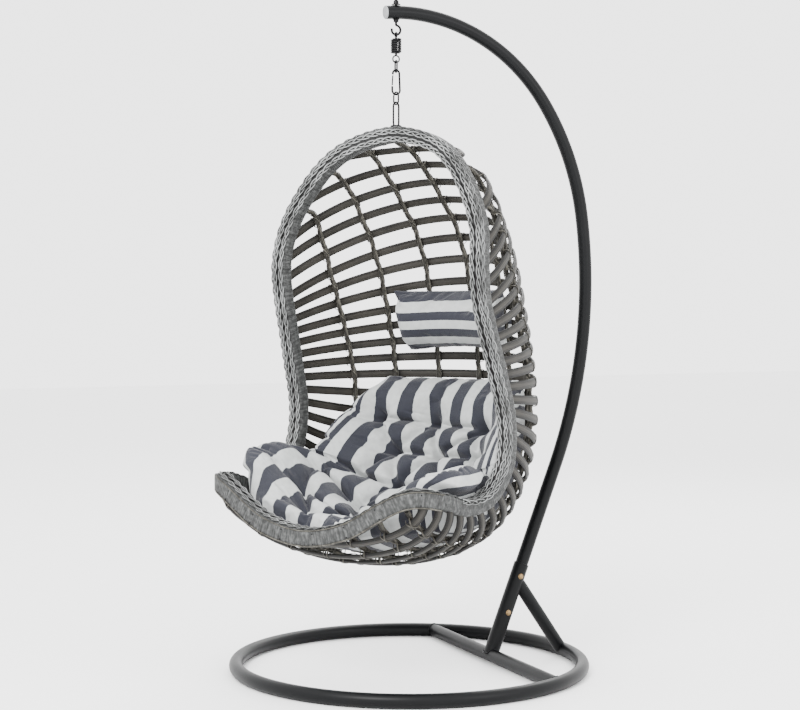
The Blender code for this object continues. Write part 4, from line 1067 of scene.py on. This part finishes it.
def build_seat_cushion():
    shape = PadMap(SEAT_ROWS, 0.0)
    tufts = [(shape.across(index, u), shape.along(index)) for index, u in SEAT_TUFTS]
    pad = flat_pad("seat_pad", shape, inner=0.010, voxel=0.0078)
    co = positions(pad)
    index, reach, spread, rise = BOLSTER
    side = np.abs(co[:, 0]) - shape.across(index, shape.row(index)[0] - 0.045)
    ahead = (co[:, 1] - shape.along(index)) / CLOTH_PER_HOOP / reach
    roll = np.exp(-(side / spread) ** 2) * np.exp(-ahead ** 4)
    co[:, 2] += rise * roll * (co[:, 2] > 0.03)
    co[:, 2] *= 1 - SEAT_LEAN * co[:, 0]
    set_positions(pad, dimple(co, tufts, depth=0.058, spread=0.030))
    puff(pad, tufts, pressure=4.0, slack=0.09, cap=0.030)
    flat = positions(pad)
    drop = np.maximum(0.17 - flat[:, 2], 0) * np.clip((np.abs(flat[:, 0]) - 0.30) / 0.05, 0, 1)
    keep_cloth_place(pad, flat + np.outer(np.sign(flat[:, 0]) * drop, RIGHT))
    set_positions(pad, in_basket(clear_of_rim(shape.bend(flat), lap=0.045)))
    dress(pad, CUSHION, "seat_cushion")


def build_pillow():
    """A plain pillow with drawn-in sides, held against the ribs by its ties."""
    shape = PadMap(PILLOW_ROWS, PILLOW_U)
    pad = flat_pad("pillow_pad", shape, inner=0.007, voxel=0.0055)
    puff(pad, (), pressure=5.0, slack=0.10, cap=0.026)
    flat = positions(pad)
    top, bottom = shape.along(shape.rows[0, 0]), shape.along(shape.rows[-1, 0])
    middle = (top + bottom) / 2
    t = (flat[:, 1] - middle) / (bottom - middle)
    s = (flat[:, 0] - PILLOW_U) / 0.215
    keep_cloth_place(pad, flat[:, [1, 0, 2]])
    flat[:, 0] -= np.sign(s) * np.abs(s) ** 3 * (0.030 * (1 - t ** 2) + 0.011 * (1 + t))
    flat[:, 1] -= np.sign(t) * 0.010 * np.abs(t) ** 3 * (1 - s ** 2)
    flat[:, 1] += 0.020 * (1 - s ** 2) * np.clip(-t, 0, 1) ** 2
    set_positions(pad, in_basket(shape.bend(flat)))
    dress(pad, PILLOW, "head_pillow")


def build_ties():
    for name, u in (("pillow_tie_left", PILLOW_U - 0.175), ("pillow_tie_right", PILLOW_U + 0.175)):
        curve, places = rib_path(u, 0.013)
        points = at_lengths(curve, places, np.linspace(8.42, 9.58, 24))
        verts, faces, uvs = strand(points, (0, 1.0, 0), rounded_box(0.0058, 0.0009, 0.0007))
        piece = make_object(f"cloth_{name}", in_basket(verts), faces, PILLOW, uvs)
        keep_cloth_place(piece, np.stack([uvs[:, 0] + 0.01, uvs[:, 1] * 0.02, 0 * uvs[:, 0]], -1))
        settle(piece, "basket", "cushion_fabric", name)


# Setting

FLOOR_HALF = 14.0
WORLD_STRENGTH = 3.4
LAMPS = (("key", (3.2, -3.6, 4.2), 2.0, 520), ("fill", (4.5, 2.2, 2.6), 2.2, 110),
         ("back", (-3.0, 2.5, 3.8), 2.4, 160))      # place, size and power
LAMPS_AIM = Vector((0, 0, 0.9))
CAMERA_PLACE = (4.9788, -2.0910 + STAND_Y, 1.1501)
CAMERA_ANGLES = (math.radians(90 - 2.432), 0, math.radians(67.5))
SENSOR, FOCAL_LENGTH = 36.0, 83.595


def aimed(name, data, place, angles):
    made = link_object(name, data)
    made.location, made.rotation_euler = place, angles
    return made


def build_camera():
    lens = bpy.data.cameras.new("camera")
    lens.sensor_width, lens.lens = SENSOR, FOCAL_LENGTH
    bpy.context.scene.camera = aimed("camera", lens, CAMERA_PLACE, CAMERA_ANGLES)


def build_setting():
    made = Finish("studio_floor")
    grain = made.noise(3.0, vector=made.coords["Generated"])
    tone = made.ramp(grain, (0.3, (0.88, 0.88, 0.88)), (0.7, (0.92, 0.92, 0.92)))
    corners = [(x * FLOOR_HALF, y * FLOOR_HALF, 0) for x, y in ((-1, -1), (1, -1), (1, 1), (-1, 1))]
    finish = made.done([], Base_Color=tone, Roughness=0.6)
    make_object("studio_floor", corners, [[0, 1, 2, 3]], finish)
    world = bpy.data.worlds.new("studio")
    world.use_nodes = True
    sky = world.node_tree.nodes["Background"].inputs
    sky["Color"].default_value = (1.0, 1.0, 1.0, 1.0)
    sky["Strength"].default_value = WORLD_STRENGTH
    bpy.context.scene.world = world
    for name, place, size, power in LAMPS:
        lamp = bpy.data.lights.new(name, "AREA")
        lamp.energy, lamp.size = power, size
        aimed(name, lamp, place, (LAMPS_AIM - Vector(place)).to_track_quat("-Z", "Y").to_euler())


build_camera()
build_setting()
build_stand()
build_hook()
build_spring()
add_link("link_upper", UPPER_LINK, 0.0, "upper_link")
add_link("link_lower", LOWER_LINK, LOWER_LINK_TURN, "lower_link")
build_snap_hook()
build_hanger()
build_rim()
build_braid()
build_fascia()
build_slats()
build_ribs()
build_seat_cushion()
build_pillow()
build_ties()
